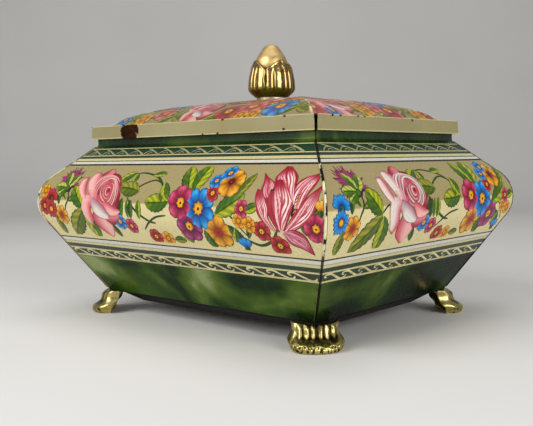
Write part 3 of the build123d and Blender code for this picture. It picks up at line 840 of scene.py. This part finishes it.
def scroll_bands(material):
    """The running scroll round the body, above and below the flowers."""
    for side in SIDES:
        ink = Print(wall_place(side))
        reach = reach_of(side)
        for top, bottom, strokes in SCROLL_BANDS:
            s0, s1 = SECTION.s_at(top), SECTION.s_at(bottom)
            middle, half = (s0 + s1) / 2, abs(s1 - s0) / 2
            long = 2 * (reach + min(SECTION.at(s0)[0], SECTION.at(s1)[0]) - 0.9)
            count = round(long / SCROLL_PITCH)
            pitch = long / (count + 0.3)
            for k in range(count):
                x0 = -long / 2 + k * pitch
                for stroke, wide in strokes:
                    ink.level = ink.BASE
                    ink.line([(x0 + max(0.0, x) * pitch, -middle + y * half) for x, y in stroke], wide,
                             GOLD_LINE, taper=0.5, steps=4)
        ink.finish(f"{side}_scrolls", "casket", material)


# ---------------------------------------------------------------------------------------------
# Materials


class Value:
    """A number in a material's node tree, on which the usual signs work."""

    def __init__(self, graph, socket):
        self.graph, self.socket = graph, socket

    def __add__(self, other):
        return self.graph.math("ADD", self, other)

    def __sub__(self, other):
        return self.graph.math("SUBTRACT", self, other)

    def __rsub__(self, other):
        return self.graph.math("SUBTRACT", other, self)

    def __mul__(self, other):
        return self.graph.math("MULTIPLY", self, other)

    def __truediv__(self, other):
        return self.graph.math("DIVIDE", self, other)

    def __pow__(self, other):
        return self.graph.math("POWER", self, other)

    def __abs__(self):
        return self.graph.math("ABSOLUTE", self)

    def __gt__(self, other):
        return self.graph.math("GREATER_THAN", self, other)

    def __lt__(self, other):
        return self.graph.math("LESS_THAN", self, other)

    def step(self, low, high):
        """0 where the number is under low, 1 over high and smooth between."""
        node = self.graph.node("ShaderNodeMapRange", clamp=True, interpolation_type="SMOOTHSTEP",
                               From_Min=low, From_Max=high)
        self.graph.plug(self, node.inputs["Value"])
        return Value(self.graph, node.outputs["Result"])

    def between(self, low, high, soft=0.05):
        """1 where the number is from low to high."""
        return self.step(low - soft, low) * (1.0 - self.step(high, high + soft))


class Graph:
    """A material's node tree, with short ways to add what repeats."""

    def __init__(self, name):
        self.material = bpy.data.materials.new(name)
        self.material.use_nodes = True
        self.tree = self.material.node_tree
        self.shader = self.tree.nodes["Principled BSDF"]
        coordinates = self.node("ShaderNodeTexCoord")
        self.place = coordinates.outputs["Object"]  # in the object's own axes, in metres
        self.normal = coordinates.outputs["Normal"]

    def node(self, kind, **settings):
        """Adds a node, setting its properties and, by socket name, its inputs."""
        node = self.tree.nodes.new(kind)
        for key, value in settings.items():
            if hasattr(node, key):
                setattr(node, key, value)
            else:
                node.inputs[key.replace("_", " ")].default_value = value
        return node

    def plug(self, value, socket):
        """Feeds a socket with a number, an sRGB colour, a Value or another node's socket."""
        if isinstance(value, (int, float)):
            socket.default_value = value
        elif isinstance(value, tuple):
            socket.default_value = linear(value) + (1.0,)
        else:
            self.tree.links.new(value.socket if isinstance(value, Value) else value, socket)

    def axes(self):
        """The place's X, Y and Z in millimetres."""
        split = self.node("ShaderNodeSeparateXYZ")
        self.plug(self.place, split.inputs[0])
        return [Value(self, output) * 1000.0 for output in split.outputs]

    def math(self, operation, *values, clamp=False):
        """A sum or other operation on Values and numbers."""
        node = self.node("ShaderNodeMath", operation=operation, use_clamp=clamp)
        for value, socket in zip(values, node.inputs):
            self.plug(value, socket)
        return Value(self, node.outputs[0])

    def noise(self, scale, detail=4.0, rough=0.55, distort=0.0, tall=1.0):
        """Noise of 0 to 1 about a half, with scale waves to the metre, or tall times that up Z."""
        node = self.node("ShaderNodeTexNoise", Scale=scale, Detail=detail, Roughness=rough,
                         Distortion=distort)
        place = self.place
        if tall != 1.0:
            mapping = self.node("ShaderNodeMapping", Scale=(1.0, 1.0, tall))
            self.plug(place, mapping.inputs["Vector"])
            place = mapping.outputs[0]
        self.plug(place, node.inputs["Vector"])
        return Value(self, node.outputs["Fac"])

    def ramp(self, value, stops, constant=False):
        """A colour by value, from stops of a value and an sRGB colour."""
        node = self.node("ShaderNodeValToRGB")
        ramp = node.color_ramp
        ramp.interpolation = "CONSTANT" if constant else "LINEAR"
        while len(ramp.elements) < len(stops):
            ramp.elements.new(1.0)
        for element, (position, _) in zip(ramp.elements, stops):
            element.position = position
        for element, (_, colour) in zip(ramp.elements, stops):
            element.color = linear(colour) + (1.0,)
        self.plug(value, node.inputs[0])
        return node.outputs[0]

    def blend(self, share, a, b):
        """Colour a, with a share of colour b."""
        node = self.node("ShaderNodeMix", data_type="RGBA")
        for value, socket in ((share, 0), (a, 6), (b, 7)):
            self.plug(value, node.inputs[socket])
        return node.outputs[2]

    def bump(self, height, strength, distance):
        """A bump on the shader's normal."""
        node = self.node("ShaderNodeBump", Strength=strength, Distance=distance)
        self.plug(height, node.inputs["Height"])
        self.plug(node.outputs[0], self.shader.inputs["Normal"])

    def done(self, colour, rough, metal=0.0, specular=0.5):
        """Feeds the shader, and returns the material."""
        sockets = {"Base Color": colour, "Roughness": rough, "Metallic": metal,
                   "Specular IOR Level": specular}
        for name, value in sockets.items():
            self.plug(value, self.shader.inputs[name])
        return self.material


HEIGHT_SPAN = 100.0  # millimetres of height that the band ramp covers
CREAM, SILVER, BLACK, GREY_LINE = (196, 184, 132), (200, 198, 184), (12, 12, 11), (150, 146, 134)
DARK_GREEN, MOSS, SEA_GREEN, NECK_GREEN = (8, 44, 24), (18, 50, 30), (14, 52, 30), (30, 60, 26)
KHAKI, PALE_GROUND = (156, 141, 95), (214, 201, 148)
MARBLE_TOP, GROUND_LOW, REFLECTION_LINE, GROUND_HIGH, NECK_LOW = 30.2, 40.9, 60.6, 77.2, 85.9
BANDS = (
    (0.0, DARK_GREEN), (MARBLE_TOP, CREAM), (31.05, DARK_GREEN), (34.25, CREAM), (34.95, DARK_GREEN),
    (36.8, CREAM), (38.2, GREY_LINE), (38.35, SILVER), (38.9, GREY_LINE), (39.05, SILVER),
    (39.55, GREY_LINE), (39.7, SILVER), (40.2, BLACK), (GROUND_LOW, KHAKI), (GROUND_HIGH, BLACK),
    (77.8, SILVER), (79.0, BLACK), (79.4, CREAM), (80.6, MOSS), (82.0, CREAM), (82.35, SEA_GREEN),
    (85.35, CREAM), (NECK_LOW, NECK_GREEN),
)  # the height where each plain band begins, and its colour


def marble(graph, x, shade):
    """Soft clouds of near-black to pale green, paler to the left, with a share of painted shade over them.
    """
    cloud = graph.noise(17.0, 3.0, 0.45, 1.0, tall=1.5)
    fine = graph.noise(70.0, 4.0, 0.6, 0.6)
    clouds = graph.ramp(fine * 0.12 + cloud * 0.94 + x * -0.0011, [
        (0.40, (7, 20, 8)), (0.48, (18, 42, 13)), (0.55, (46, 72, 16)), (0.62, (78, 100, 34)),
        (0.70, (130, 142, 92))])
    return graph.blend(shade, clouds, (7, 18, 8))


def neck_colour(graph, height):
    """The neck's dark and yellow-green clouds, darkened partly as painted shade under the lid's skirt, with
    a dark line where the shoulder begins.
    """
    cloud = graph.noise(24.0, 3.0, 0.5, 0.5)
    # The ramp's dark greens are partly painted shade under the lid's skirt.
    colour = graph.ramp(cloud, [(0.38, (10, 28, 11)), (0.55, (29, 53, 16)), (0.68, (72, 94, 26))])
    return graph.blend((1.0 - height.step(86.0, 87.2)) * 0.6, colour, (20, 46, 22))


def seam_paint(graph, z, inset, lip, colour):
    """The worn corner seam: bright where the tin's edge is bare, black in its crease and chips."""
    blob = graph.noise(210.0, 4.0, 0.6, tall=0.55)
    bead = graph.ramp(blob, [(0.44, (220, 212, 172)), (0.50, (188, 178, 134)), (0.53, (20, 18, 16))])
    colour = graph.blend(lip * 0.92, colour, (16, 18, 13))
    colour = graph.blend(lip * z.between(44.0, 79.0, 2.0), colour, bead)
    crease = 1.0 - abs(inset - 0.45).step(0.12, 0.30)
    return graph.blend(crease * 0.9, colour, (14, 14, 12))


def faces_out(graph):
    """1 on faces that look away from the casket's middle, 0 on those inside."""
    away = graph.node("ShaderNodeVectorMath", operation="SUBTRACT")
    away.inputs[1].default_value = (0.0, 0.0, 60 * MM)
    graph.plug(graph.place, away.inputs[0])
    product = graph.node("ShaderNodeVectorMath", operation="DOT_PRODUCT")
    graph.plug(away.outputs[0], product.inputs[0])
    graph.plug(graph.normal, product.inputs[1])
    return Value(graph, product.outputs["Value"]) > 0.0


def wall_material(name, end):
    """Lithographed tin: bands by height with a painted horizon reflection on the flower band's ground,
    marbling below, and on the end walls a worn corner seam and painted shade over the marbling.
    """
    graph = Graph(name)
    x, y, z = graph.axes()
    z = z + (graph.noise(60.0, 2.0) - 0.5) * 0.1
    stops = [(start / HEIGHT_SPAN, band) for start, band in BANDS]
    colour = graph.ramp(z / HEIGHT_SPAN, stops, constant=True)
    # Painted reflection: the ground is pale below the bulge's widest line and khaki above it.
    ground = graph.ramp(z.step(REFLECTION_LINE - 1.0, REFLECTION_LINE), [(0.0, PALE_GROUND), (1.0, KHAKI)])
    ground = graph.blend(graph.noise(45.0, 6.0) * 0.3, ground, (146, 128, 82))
    colour = graph.blend(z.between(GROUND_LOW, GROUND_HIGH), colour, ground)
    below = 1.0 - z.step(MARBLE_TOP - 0.05, MARBLE_TOP)
    # Painted shade: the end walls' marbling is darkened, as less light reaches those sides.
    colour = graph.blend(below, colour, marble(graph, x, 0.35 if end else 0.0))
    colour = graph.blend(z.step(NECK_LOW, NECK_LOW + 0.05), colour, neck_colour(graph, z))
    colour = graph.blend(graph.noise(1300.0, 2.0).step(0.5, 0.8) * 0.22, colour, (96, 86, 54))
    inset = abs(x) - abs(y) - (HALF_X - HALF_Y)
    shine = z.step(29.0, 32.0) * 0.36 + 0.08
    if end:
        lip = 1.0 - inset.step(0.28, 0.40)
        colour = seam_paint(graph, z, inset, lip, colour)
        shine = shine * (lip * -0.8 + 1.0)
    else:
        chips = inset.step(-2.2, -1.2) * graph.noise(320.0, 5.0, 0.65).step(0.56, 0.6)
        colour = graph.blend(chips * 0.7, colour, (46, 40, 30))
    lacquer = graph.ramp(graph.noise(35.0, 5.0), [(0.3, (132, 120, 82)), (0.7, (158, 146, 104))])
    colour = graph.blend(faces_out(graph), lacquer, colour)
    graph.bump(graph.noise(30.0, 1.0), 0.08, 0.0006)
    return graph.done(colour, graph.noise(130.0, 4.0) * 0.16 + 0.20, specular=shine)


def ink_material(name, dull):
    """Printed ink, in the colours held by the mesh, with a fine printed grain. Worn ink is duller."""
    graph = Graph(name)
    ink = graph.node("ShaderNodeVertexColor", layer_name="ink")
    deep = graph.node("ShaderNodeGamma", Gamma=1.22)
    graph.plug(ink.outputs[0], deep.inputs[0])
    colour = graph.blend(dull, deep.outputs[0], (122, 106, 72))
    colour = graph.blend(graph.noise(1500.0, 2.0).step(0.45, 0.75) * 0.2, colour, (104, 84, 54))
    graph.bump(graph.noise(900.0, 2.0), 0.12, 0.0002)
    return graph.done(colour, graph.noise(240.0, 3.0) * 0.2 + 0.24, specular=0.25)


def scroll_material():
    """Pale gold ink of the scrolls, duller on the upper band."""
    graph = Graph("gold_ink")
    colour = graph.ramp(graph.noise(160.0, 5.0), [(0.3, (158, 146, 98)), (0.6, (212, 200, 148))])
    height = graph.axes()[2]
    colour = graph.blend(height.step(50.0, 60.0) * 0.55, colour, (88, 90, 58))
    return graph.done(colour, graph.noise(200.0, 3.0) * 0.2 + 0.24, specular=0.4)


RUST_AT, RUST_HALF = (-43.0, 94.3), (7.0, 4.4)
STAIN_X = 22.5
CHIP_HALF = (0.75, 0.55)
CHIPS = ((22.5, 97.3), (19.5, 91.3), (58.5, 97.3), (58.2, 91.8), (10.0, 91.2))
END_CHIPS = ((-48.0, 97.2), (-42.5, 97.2), (-30.0, 97.4), (-25.0, 97.4), (14.0, 96.6))


def spot(along, height, at, half, ragged):
    """1 in a nearly square spot with a ragged edge, at a place on a side."""
    away = abs((along - at[0]) / half[0]) ** 4.0 + abs((height - at[1]) / half[1]) ** 4.0
    return 1.0 - (away + (ragged - 0.5) * 3.4).step(0.7, 0.95)


def lid_wear(graph, x, y, height, colour):
    """Rust, a stain and chips on the front skirt, and chips on the right one."""
    ragged = graph.noise(300.0, 4.0)
    front, right = y < 1.5 - HALF_Y, x > HALF_X - 1.5
    narrow = (LID_FOLD - height) * 0.40 + 1.4
    stain = (1.0 - (abs(x - STAIN_X) / narrow).step(0.85, 1.0)) * front
    colour = graph.blend(stain * 0.5, colour, (146, 128, 72))
    for places, along, side in ((CHIPS, x, front), (END_CHIPS, y, right)):
        for at in places:
            chip = spot(along, height, at, CHIP_HALF, ragged)
            colour = graph.blend(chip * side, colour, (18, 15, 13))
    rust = spot(x, height, RUST_AT, RUST_HALF, ragged) * front
    rusty = graph.ramp(graph.noise(340.0, 5.0), [(0.35, (26, 13, 5)), (0.60, (48, 25, 10)),
                                                 (0.75, (92, 44, 16))])
    return graph.blend(rust, colour, rusty), rust


def lid_material():
    """The lid's tin: khaki gold skirt and ground, painted highlights along the fold and the hem, painted
    shade at the tops of the skirt's corner slits, and rust and chips where it has been knocked.
    """
    graph = Graph("lid_tin")
    x, y, height = graph.axes()
    blotch = graph.noise(22.0, 6.0)
    colour = graph.ramp(blotch, [(0.3, (134, 124, 84)), (0.7, (151, 142, 101))])
    colour = graph.blend(graph.noise(1100.0, 2.0).step(0.55, 0.75) * 0.3, colour, (112, 98, 62))
    dome = height.step(LID_FOLD + 0.15, LID_FOLD + 0.6)
    colour = graph.blend(dome, colour, (140, 124, 84))
    # Painted highlights: a pale line along the fold and another along the hem.
    fold = 1.0 - abs(height - LID_FOLD).step(0.1, 0.35)
    colour = graph.blend(fold * 0.7, colour, (214, 204, 162))
    hem = 1.0 - height.step(SKIRT_BOTTOM + 0.3, SKIRT_BOTTOM + 0.6)
    colour = graph.blend(hem * 0.6, colour, (206, 194, 142))
    ridge = abs(abs(x) - abs(y) - (HALF_X - HALF_Y))
    crease = (1.0 - ridge.step(0.5, 1.6)) * dome * graph.noise(180.0, 4.0).step(0.4, 0.55)
    colour = graph.blend(crease * faces_out(graph), colour, (206, 194, 152))
    # Painted shade: the skirt is dark at the top of each corner slit.
    slit_shade = [1.0 - (half + 0.5 - abs(way)).step(1.3, 1.9) for half, way in ((HALF_X, x), (HALF_Y, y))]
    colour = graph.blend(slit_shade[0] * slit_shade[1] * height.step(94.8, 96.2), colour, (16, 14, 12))
    colour, rust = lid_wear(graph, x, y, height, colour)
    graph.bump(graph.noise(60.0, 3.0) - rust * 0.8, 0.10, 0.0005)
    return graph.done(colour, blotch * 0.18 + 0.28 + rust * 0.45, specular=rust * -0.38 + 0.42)


def pan_material():
    """Black lacquer with dust."""
    graph = Graph("black_lacquer")
    colour = graph.ramp(graph.noise(50.0, 6.0), [(0.4, (7, 7, 7)), (0.8, (20, 18, 16))])
    return graph.done(colour, graph.noise(90.0, 4.0) * 0.25 + 0.45, specular=0.12)


def brass_material(name, bright, dark, low, high, shine):
    """Lacquered brass with fine pits, ramping from a dark colour below to a bright one above, and
    green-black by the points' hollow colour, which stands for tarnish and painted shade.
    """
    graph = Graph(name)
    hollow = graph.node("ShaderNodeVertexColor", layer_name="hollow")
    tarnish = graph.noise(160.0, 5.0, 0.6).step(0.35, 0.75)
    share = graph.math("MULTIPLY_ADD", tarnish, 0.25, hollow.outputs[0], clamp=True)
    height = graph.axes()[2]
    colour = graph.ramp(height.step(low, high), [(0.0, dark), (1.0, bright)])
    colour = graph.blend(share, colour, (44, 37, 10))
    graph.bump(graph.noise(600.0, 3.0), 0.30, 0.0003)
    return graph.done(colour, share * 0.12 + shine, metal=1.0)


def plain_brass(name, dull, bright):
    """Smooth brass with a faint cloud of tarnish and fine pits."""
    graph = Graph(name)
    colour = graph.ramp(graph.noise(170.0, 5.0, 0.6), [(0.35, dull), (0.65, bright)])
    graph.bump(graph.noise(700.0, 3.0), 0.30, 0.0003)
    return graph.done(colour, graph.noise(400.0, 3.0) * 0.20 + 0.36, metal=1.0)


def steel_material():
    """Dull tinned steel."""
    graph = Graph("tinned_steel")
    colour = graph.ramp(graph.noise(220.0, 5.0), [(0.35, (120, 116, 108)), (0.65, (176, 172, 162))])
    return graph.done(colour, graph.noise(300.0, 4.0) * 0.25 + 0.30, metal=1.0)


def dress(node, material):
    """Gives a CAD node a material in every slot."""
    obj = NODES[node]
    if not obj.material_slots:
        obj.data.materials.append(material)
    for slot in obj.material_slots:
        slot.material = material


# ---------------------------------------------------------------------------------------------
# Cast brass: the feet and the finial's cup

CUP_BASE, CUP_WIDE, CUP_RADIUS, CUP_BASE_RADIUS = 111.2, 115.4, 12.2, 8.4
CUP_TIP, CUP_VALLEY, CUP_TURN, CUP_WALL = 130.0, 124.4, 25.0, 0.8
CUP_SIDE_ARC = 34.9
FLUTES = 16


def cup_radius(z):
    """The cup's plain radius at a height: a long arc over its widest, a short curve under it."""
    if z > CUP_WIDE:
        return CUP_RADIUS - CUP_SIDE_ARC + math.sqrt(CUP_SIDE_ARC**2 - (z - CUP_WIDE) ** 2)
    low = (CUP_WIDE - z) / (CUP_WIDE - CUP_BASE)
    return CUP_RADIUS - (CUP_RADIUS - CUP_BASE_RADIUS) * low**1.6


def cup_point(angle, share):
    """(radius, height, how hollow: the share of tarnish and painted shade in grooves and creases) on the
    cup's outside, share 0 at the base and 1 at the petal's edge.
    """
    quarter = ((math.degrees(angle) - CUP_TURN) / 90.0) % 1.0
    across = abs(2 * quarter - 1)  # 0 at a petal's middle, 1 at a valley
    rim = CUP_VALLEY + (CUP_TIP - CUP_VALLEY) * (1 - across**1.1)
    z = CUP_BASE + (rim - CUP_BASE) * share
    swing = 0.35 * math.sin(4 * angle + 0.6) + 0.25 * math.sin(7 * angle)
    wave = abs(math.cos(FLUTES / 2 * (angle - math.radians(CUP_TURN)) + math.pi / 2 + swing))
    groove = (1 - wave) ** 1.7
    reach = smooth(112.2, 115.4, z) * (1 - 0.85 * smooth(rim - 6.0, rim - 1.5, z))
    crease = smooth(0.88, 0.99, across) * smooth(116.0, 121.0, z)
    depth = 0.80 * groove * reach + 0.55 * crease - 0.25 * smooth(rim - 1.4, rim, z) * (z > 120)
    radius = min(cup_radius(z) - depth, CUP_RADIUS)
    return radius, z, min(1.0, groove * reach * 0.9 + crease * 0.7 + smooth(114.2, 112.0, z) * 0.2)


def finial_cup(material):
    """The finial's cup of four pointed petals, fluted outside and open above."""
    around, up = 256, 34
    rings = [(i, False) for i in range(up + 1)] + [(i, True) for i in (up, up // 2, up // 4)]
    points, hollow, faces = [], [], []
    for i, inside in rings:
        for k in range(around):
            angle = 2 * math.pi * k / around
            radius, z, low = cup_point(angle, i / up)
            if inside:
                # Inside, the cup is painted dark: tarnish and painted shade.
                radius, low = min(radius, cup_radius(z)) - CUP_WALL, 0.8
            points.append((radius * math.cos(angle) * MM, radius * math.sin(angle) * MM, z * MM))
            hollow.append(low)
    rows = len(rings)
    for i in range(rows - 1):
        for k in range(around):
            n = (k + 1) % around
            faces.append((i * around + k, i * around + n, (i + 1) * around + n, (i + 1) * around + k))
    faces.append(tuple(reversed(range(around))))
    faces.append(tuple(range((rows - 1) * around, rows * around)))
    cup = make_object("finial_petals", points, faces, material, "lid")
    paint_hollow(cup, hollow)
    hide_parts("finial_cup")


def paint_hollow(obj, values):
    """Keeps how hollow each point is as a colour, for the brass to darken by with tarnish and painted shade.
    """
    layer = obj.data.color_attributes.new("hollow", "FLOAT_COLOR", "POINT")
    layer.data.foreach_set("color", np.repeat(np.array(values, np.float32), 4))


FOOT_LIP = 3.7  # height of the crease between a foot's curtain and its toe pad
FOLD_PITCH = 2.9
FOOT_REACH = 8.6  # half of the curtain's width
FOOT_GRAIN = 0.42  # longest edge of the fine mesh, in millimetres


def foot_relief(x, y, z, seed):
    """(how far in the surface sits, how hollow it is, for tarnish and painted shade) at a point of a foot,
    +X being outward.
    """
    folds = max(0.8 * (0.5 + 0.5 * math.cos(2 * math.pi * y / FOLD_PITCH)), math.exp(-((y / 1.1) ** 2)))
    across = smooth(FOOT_REACH + 1.2, FOOT_REACH - 0.8, abs(y))
    bottom = FOOT_LIP + 0.8 + 0.7 * folds
    curtain = folds * across * smooth(bottom, bottom + 2.2, z) * smooth(12.4, 10.8, z)
    scallop = 0.35 * math.cos(math.pi * y / FOLD_PITCH)
    lip = math.exp(-(((z - FOOT_LIP + 0.5 - scallop) / 0.4) ** 2))
    spot_at = Vector((x * 0.8, y * 1.5, z * 0.5 + 10 * seed))
    beaten = max(0.0, noise.noise(spot_at) + 0.45 * noise.noise(spot_at * 2.3))
    pad = beaten * smooth(FOOT_LIP - 0.2, FOOT_LIP - 1.0, z) * smooth(-0.2, 0.5, z)
    wing = 0.25 * (1 - across) * max(0.0, noise.noise(spot_at * 1.4)) * smooth(5.0, 7.0, z)
    under = 0.65 * across * smooth(bottom - 0.9, bottom - 0.3, z) * smooth(bottom + 2.2, bottom + 0.8, z)
    lump = max(0.0, noise.noise(spot_at * 0.45)) * smooth(12.4, 10.0, z) * smooth(0.0, 1.5, z)
    depth = 0.9 * curtain - 0.35 * lip + 1.3 * pad + wing + 0.6 * under + 0.8 * lump
    return depth, min(1.0, 1.3 * curtain + 3.0 * pad + 1.2 * under)


def cast_foot(corner, seed, material):
    """A foot's CAD form, cut fine and pressed in along its folds, lip and beaten toe pad."""
    sx, sy = CORNERS[corner]
    mesh = NODES[f"foot_{corner}"].data.copy()
    mesh.materials.clear()
    mesh.materials.append(material)
    form = bmesh.new()
    form.from_mesh(mesh)
    bmesh.ops.remove_doubles(form, verts=form.verts, dist=1e-6)
    bmesh.ops.triangulate(form, faces=form.faces)
    for _ in range(6):
        long = [edge for edge in form.edges if edge.calc_length() > FOOT_GRAIN * MM]
        if not long:
            break
        bmesh.ops.subdivide_edges(form, edges=long, cuts=1)
        bmesh.ops.triangulate(form, faces=form.faces)
    angle = math.atan2(sy, sx)
    out = Vector((math.cos(angle), math.sin(angle), 0.0))
    side = Vector((-out.y, out.x, 0.0))
    home = Vector((sx * (HALF_X + BOTTOM[0]), sy * (HALF_Y + BOTTOM[0]), 0.0)) * MM
    hollow = []
    for vert in form.verts:
        local = (vert.co - home) / MM
        x, y, z = local.dot(out), local.dot(side), local.z
        depth, low = foot_relief(x, y, z, seed)
        facing = smooth(-1.5, 2.5, x)
        vert.co -= out * depth * facing * MM
        # The foot's open back, low down, is painted dark as shade; its folds, pits and the crease under its
        # curtain take tarnish and painted shade.
        hollow.append(low * facing + 0.8 * (1 - smooth(-4.0, -1.5, x)) * smooth(9.0, 4.0, z))
    form.to_mesh(mesh)
    form.free()
    mesh.name = f"cast_foot_{corner}"
    mesh.shade_smooth()
    foot = bpy.data.objects.new(mesh.name, mesh)
    bpy.context.scene.collection.objects.link(foot)
    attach(foot, "casket")
    paint_hollow(foot, hollow)
    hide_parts(f"foot_{corner}")


# ---------------------------------------------------------------------------------------------
# Camera, light and floor


SENSOR, LENS = 36.0, 52.06  # millimetres
CAMERA_PLACE = (0.26550, -0.30296, 0.07981)
CAMERA_RIGHT = (0.74677, 0.66493, -0.01397)
CAMERA_UP = (-0.03659, 0.06205, 0.99740)
LIGHTS = {
    "key": ((-0.15, -0.80, 0.52), (0, 0, 0.06), 0.7, 7.2),
    "fill": ((0.95, -0.15, 0.32), (0, 0, 0.06), 0.6, 6.4),
    "top": ((0.0, 0.1, 0.9), (0, 0, 0.1), 0.6, 2.0),
}  # place, target, size and power
SKY, SKY_STRENGTH = (0.80, 0.82, 0.85, 1.0), 0.30
FLOOR_REACH, FLOOR_RISE, FLOOR_BEND, FLOOR_HALF_WIDTH = 1.5, 1.2, 0.5, 2.2  # metres
FLOOR_AWAY = (-0.66407, 0.74432, 0.0)  # from the camera
BEND_STEPS = 32


def place_camera():
    """The camera at the viewing point."""
    data = bpy.data.cameras.new("camera")
    data.sensor_width = SENSOR
    data.lens = LENS
    camera = bpy.data.objects.new("camera", data)
    right, up = Vector(CAMERA_RIGHT), Vector(CAMERA_UP)
    rotation = Matrix((right, up, right.cross(up))).transposed().to_4x4()
    camera.matrix_world = Matrix.Translation(CAMERA_PLACE) @ rotation
    bpy.context.scene.collection.objects.link(camera)
    bpy.context.scene.camera = camera


def light_studio():
    """Three soft lamps and a faint sky."""
    for name, (place, target, size, power) in LIGHTS.items():
        light = bpy.data.lights.new(name, "AREA")
        light.energy = power
        light.size = size
        obj = bpy.data.objects.new(name, light)
        way = Vector(target) - Vector(place)
        obj.rotation_euler = way.to_track_quat("-Z", "Y").to_euler()
        obj.location = place
        bpy.context.scene.collection.objects.link(obj)
    world = bpy.data.worlds.new("studio")
    world.use_nodes = True
    sky = world.node_tree.nodes["Background"]
    sky.inputs[0].default_value = SKY
    sky.inputs[1].default_value = SKY_STRENGTH
    bpy.context.scene.world = world
    bpy.context.scene.view_settings.view_transform = "Standard"


def lay_floor():
    """A pale floor that bends up behind the casket."""
    flat = FLOOR_REACH * 0.5
    profile = [(-FLOOR_REACH, 0.0), (flat, 0.0)]
    for k in range(1, BEND_STEPS + 1):
        a = math.pi / 2 * k / BEND_STEPS
        profile.append((flat + FLOOR_BEND * math.sin(a), FLOOR_BEND * (1 - math.cos(a))))
    profile.append((flat + FLOOR_BEND, FLOOR_RISE))
    away = Vector(FLOOR_AWAY).normalized()
    side = Vector((away.y, -away.x, 0.0))
    points, faces = [], []
    for d, z in profile:
        for w in (-FLOOR_HALF_WIDTH, FLOOR_HALF_WIDTH):
            points.append(away * d + side * w + Vector((0, 0, z)))
    for k in range(len(profile) - 1):
        faces.append((2 * k, 2 * k + 1, 2 * k + 3, 2 * k + 2))
    graph = Graph("floor")
    colour = graph.ramp(graph.noise(3.0, 2.0), [(0.3, (214, 212, 208)), (0.7, (222, 220, 216))])
    mesh = bpy.data.meshes.new("floor")
    mesh.from_pydata([tuple(p) for p in points], [], faces)
    mesh.materials.append(graph.done(colour, 0.7))
    mesh.shade_smooth()
    floor = bpy.data.objects.new("floor", mesh)
    bpy.context.scene.collection.objects.link(floor)


# ---------------------------------------------------------------------------------------------
# Build

place_camera()
light_studio()
lay_floor()
ends, longs = wall_material("end_wall_tin", True), wall_material("long_wall_tin", False)
for side in SIDES:
    dress(f"{side}_wall", ends if side in ("left", "right") else longs)
dress("lid_shell", lid_material())
dress("base_pan", pan_material())
dress("finial_collar", plain_brass("collar_brass", (150, 134, 92), (206, 194, 158)))
dress("finial_nut", plain_brass("nut_brass", (196, 162, 106), (236, 204, 142)))
# The cup's olive green below its widest is a painted reflection of the green tin under it.
finial_cup(brass_material("cup_brass", (190, 158, 98), (128, 126, 48), 113.0, 118.5, 0.19))
foot_brass = brass_material("foot_brass", (208, 190, 122), (198, 182, 112), 2.0, 8.0, 0.26)
for seed, corner in enumerate(CORNERS):
    cast_foot(corner, seed, foot_brass)
steel = steel_material()
for node in ("foot_rivets", "hinge_rivets", "hinge_wire", "finial_washer", "finial_screw",
             "hinge_strap_left", "hinge_strap_centre", "hinge_strap_right"):
    dress(node, steel)
print_walls(ink_material("flower_ink", 0.0))
print_dome(ink_material("lid_ink", 0.22))
scroll_bands(scroll_material())
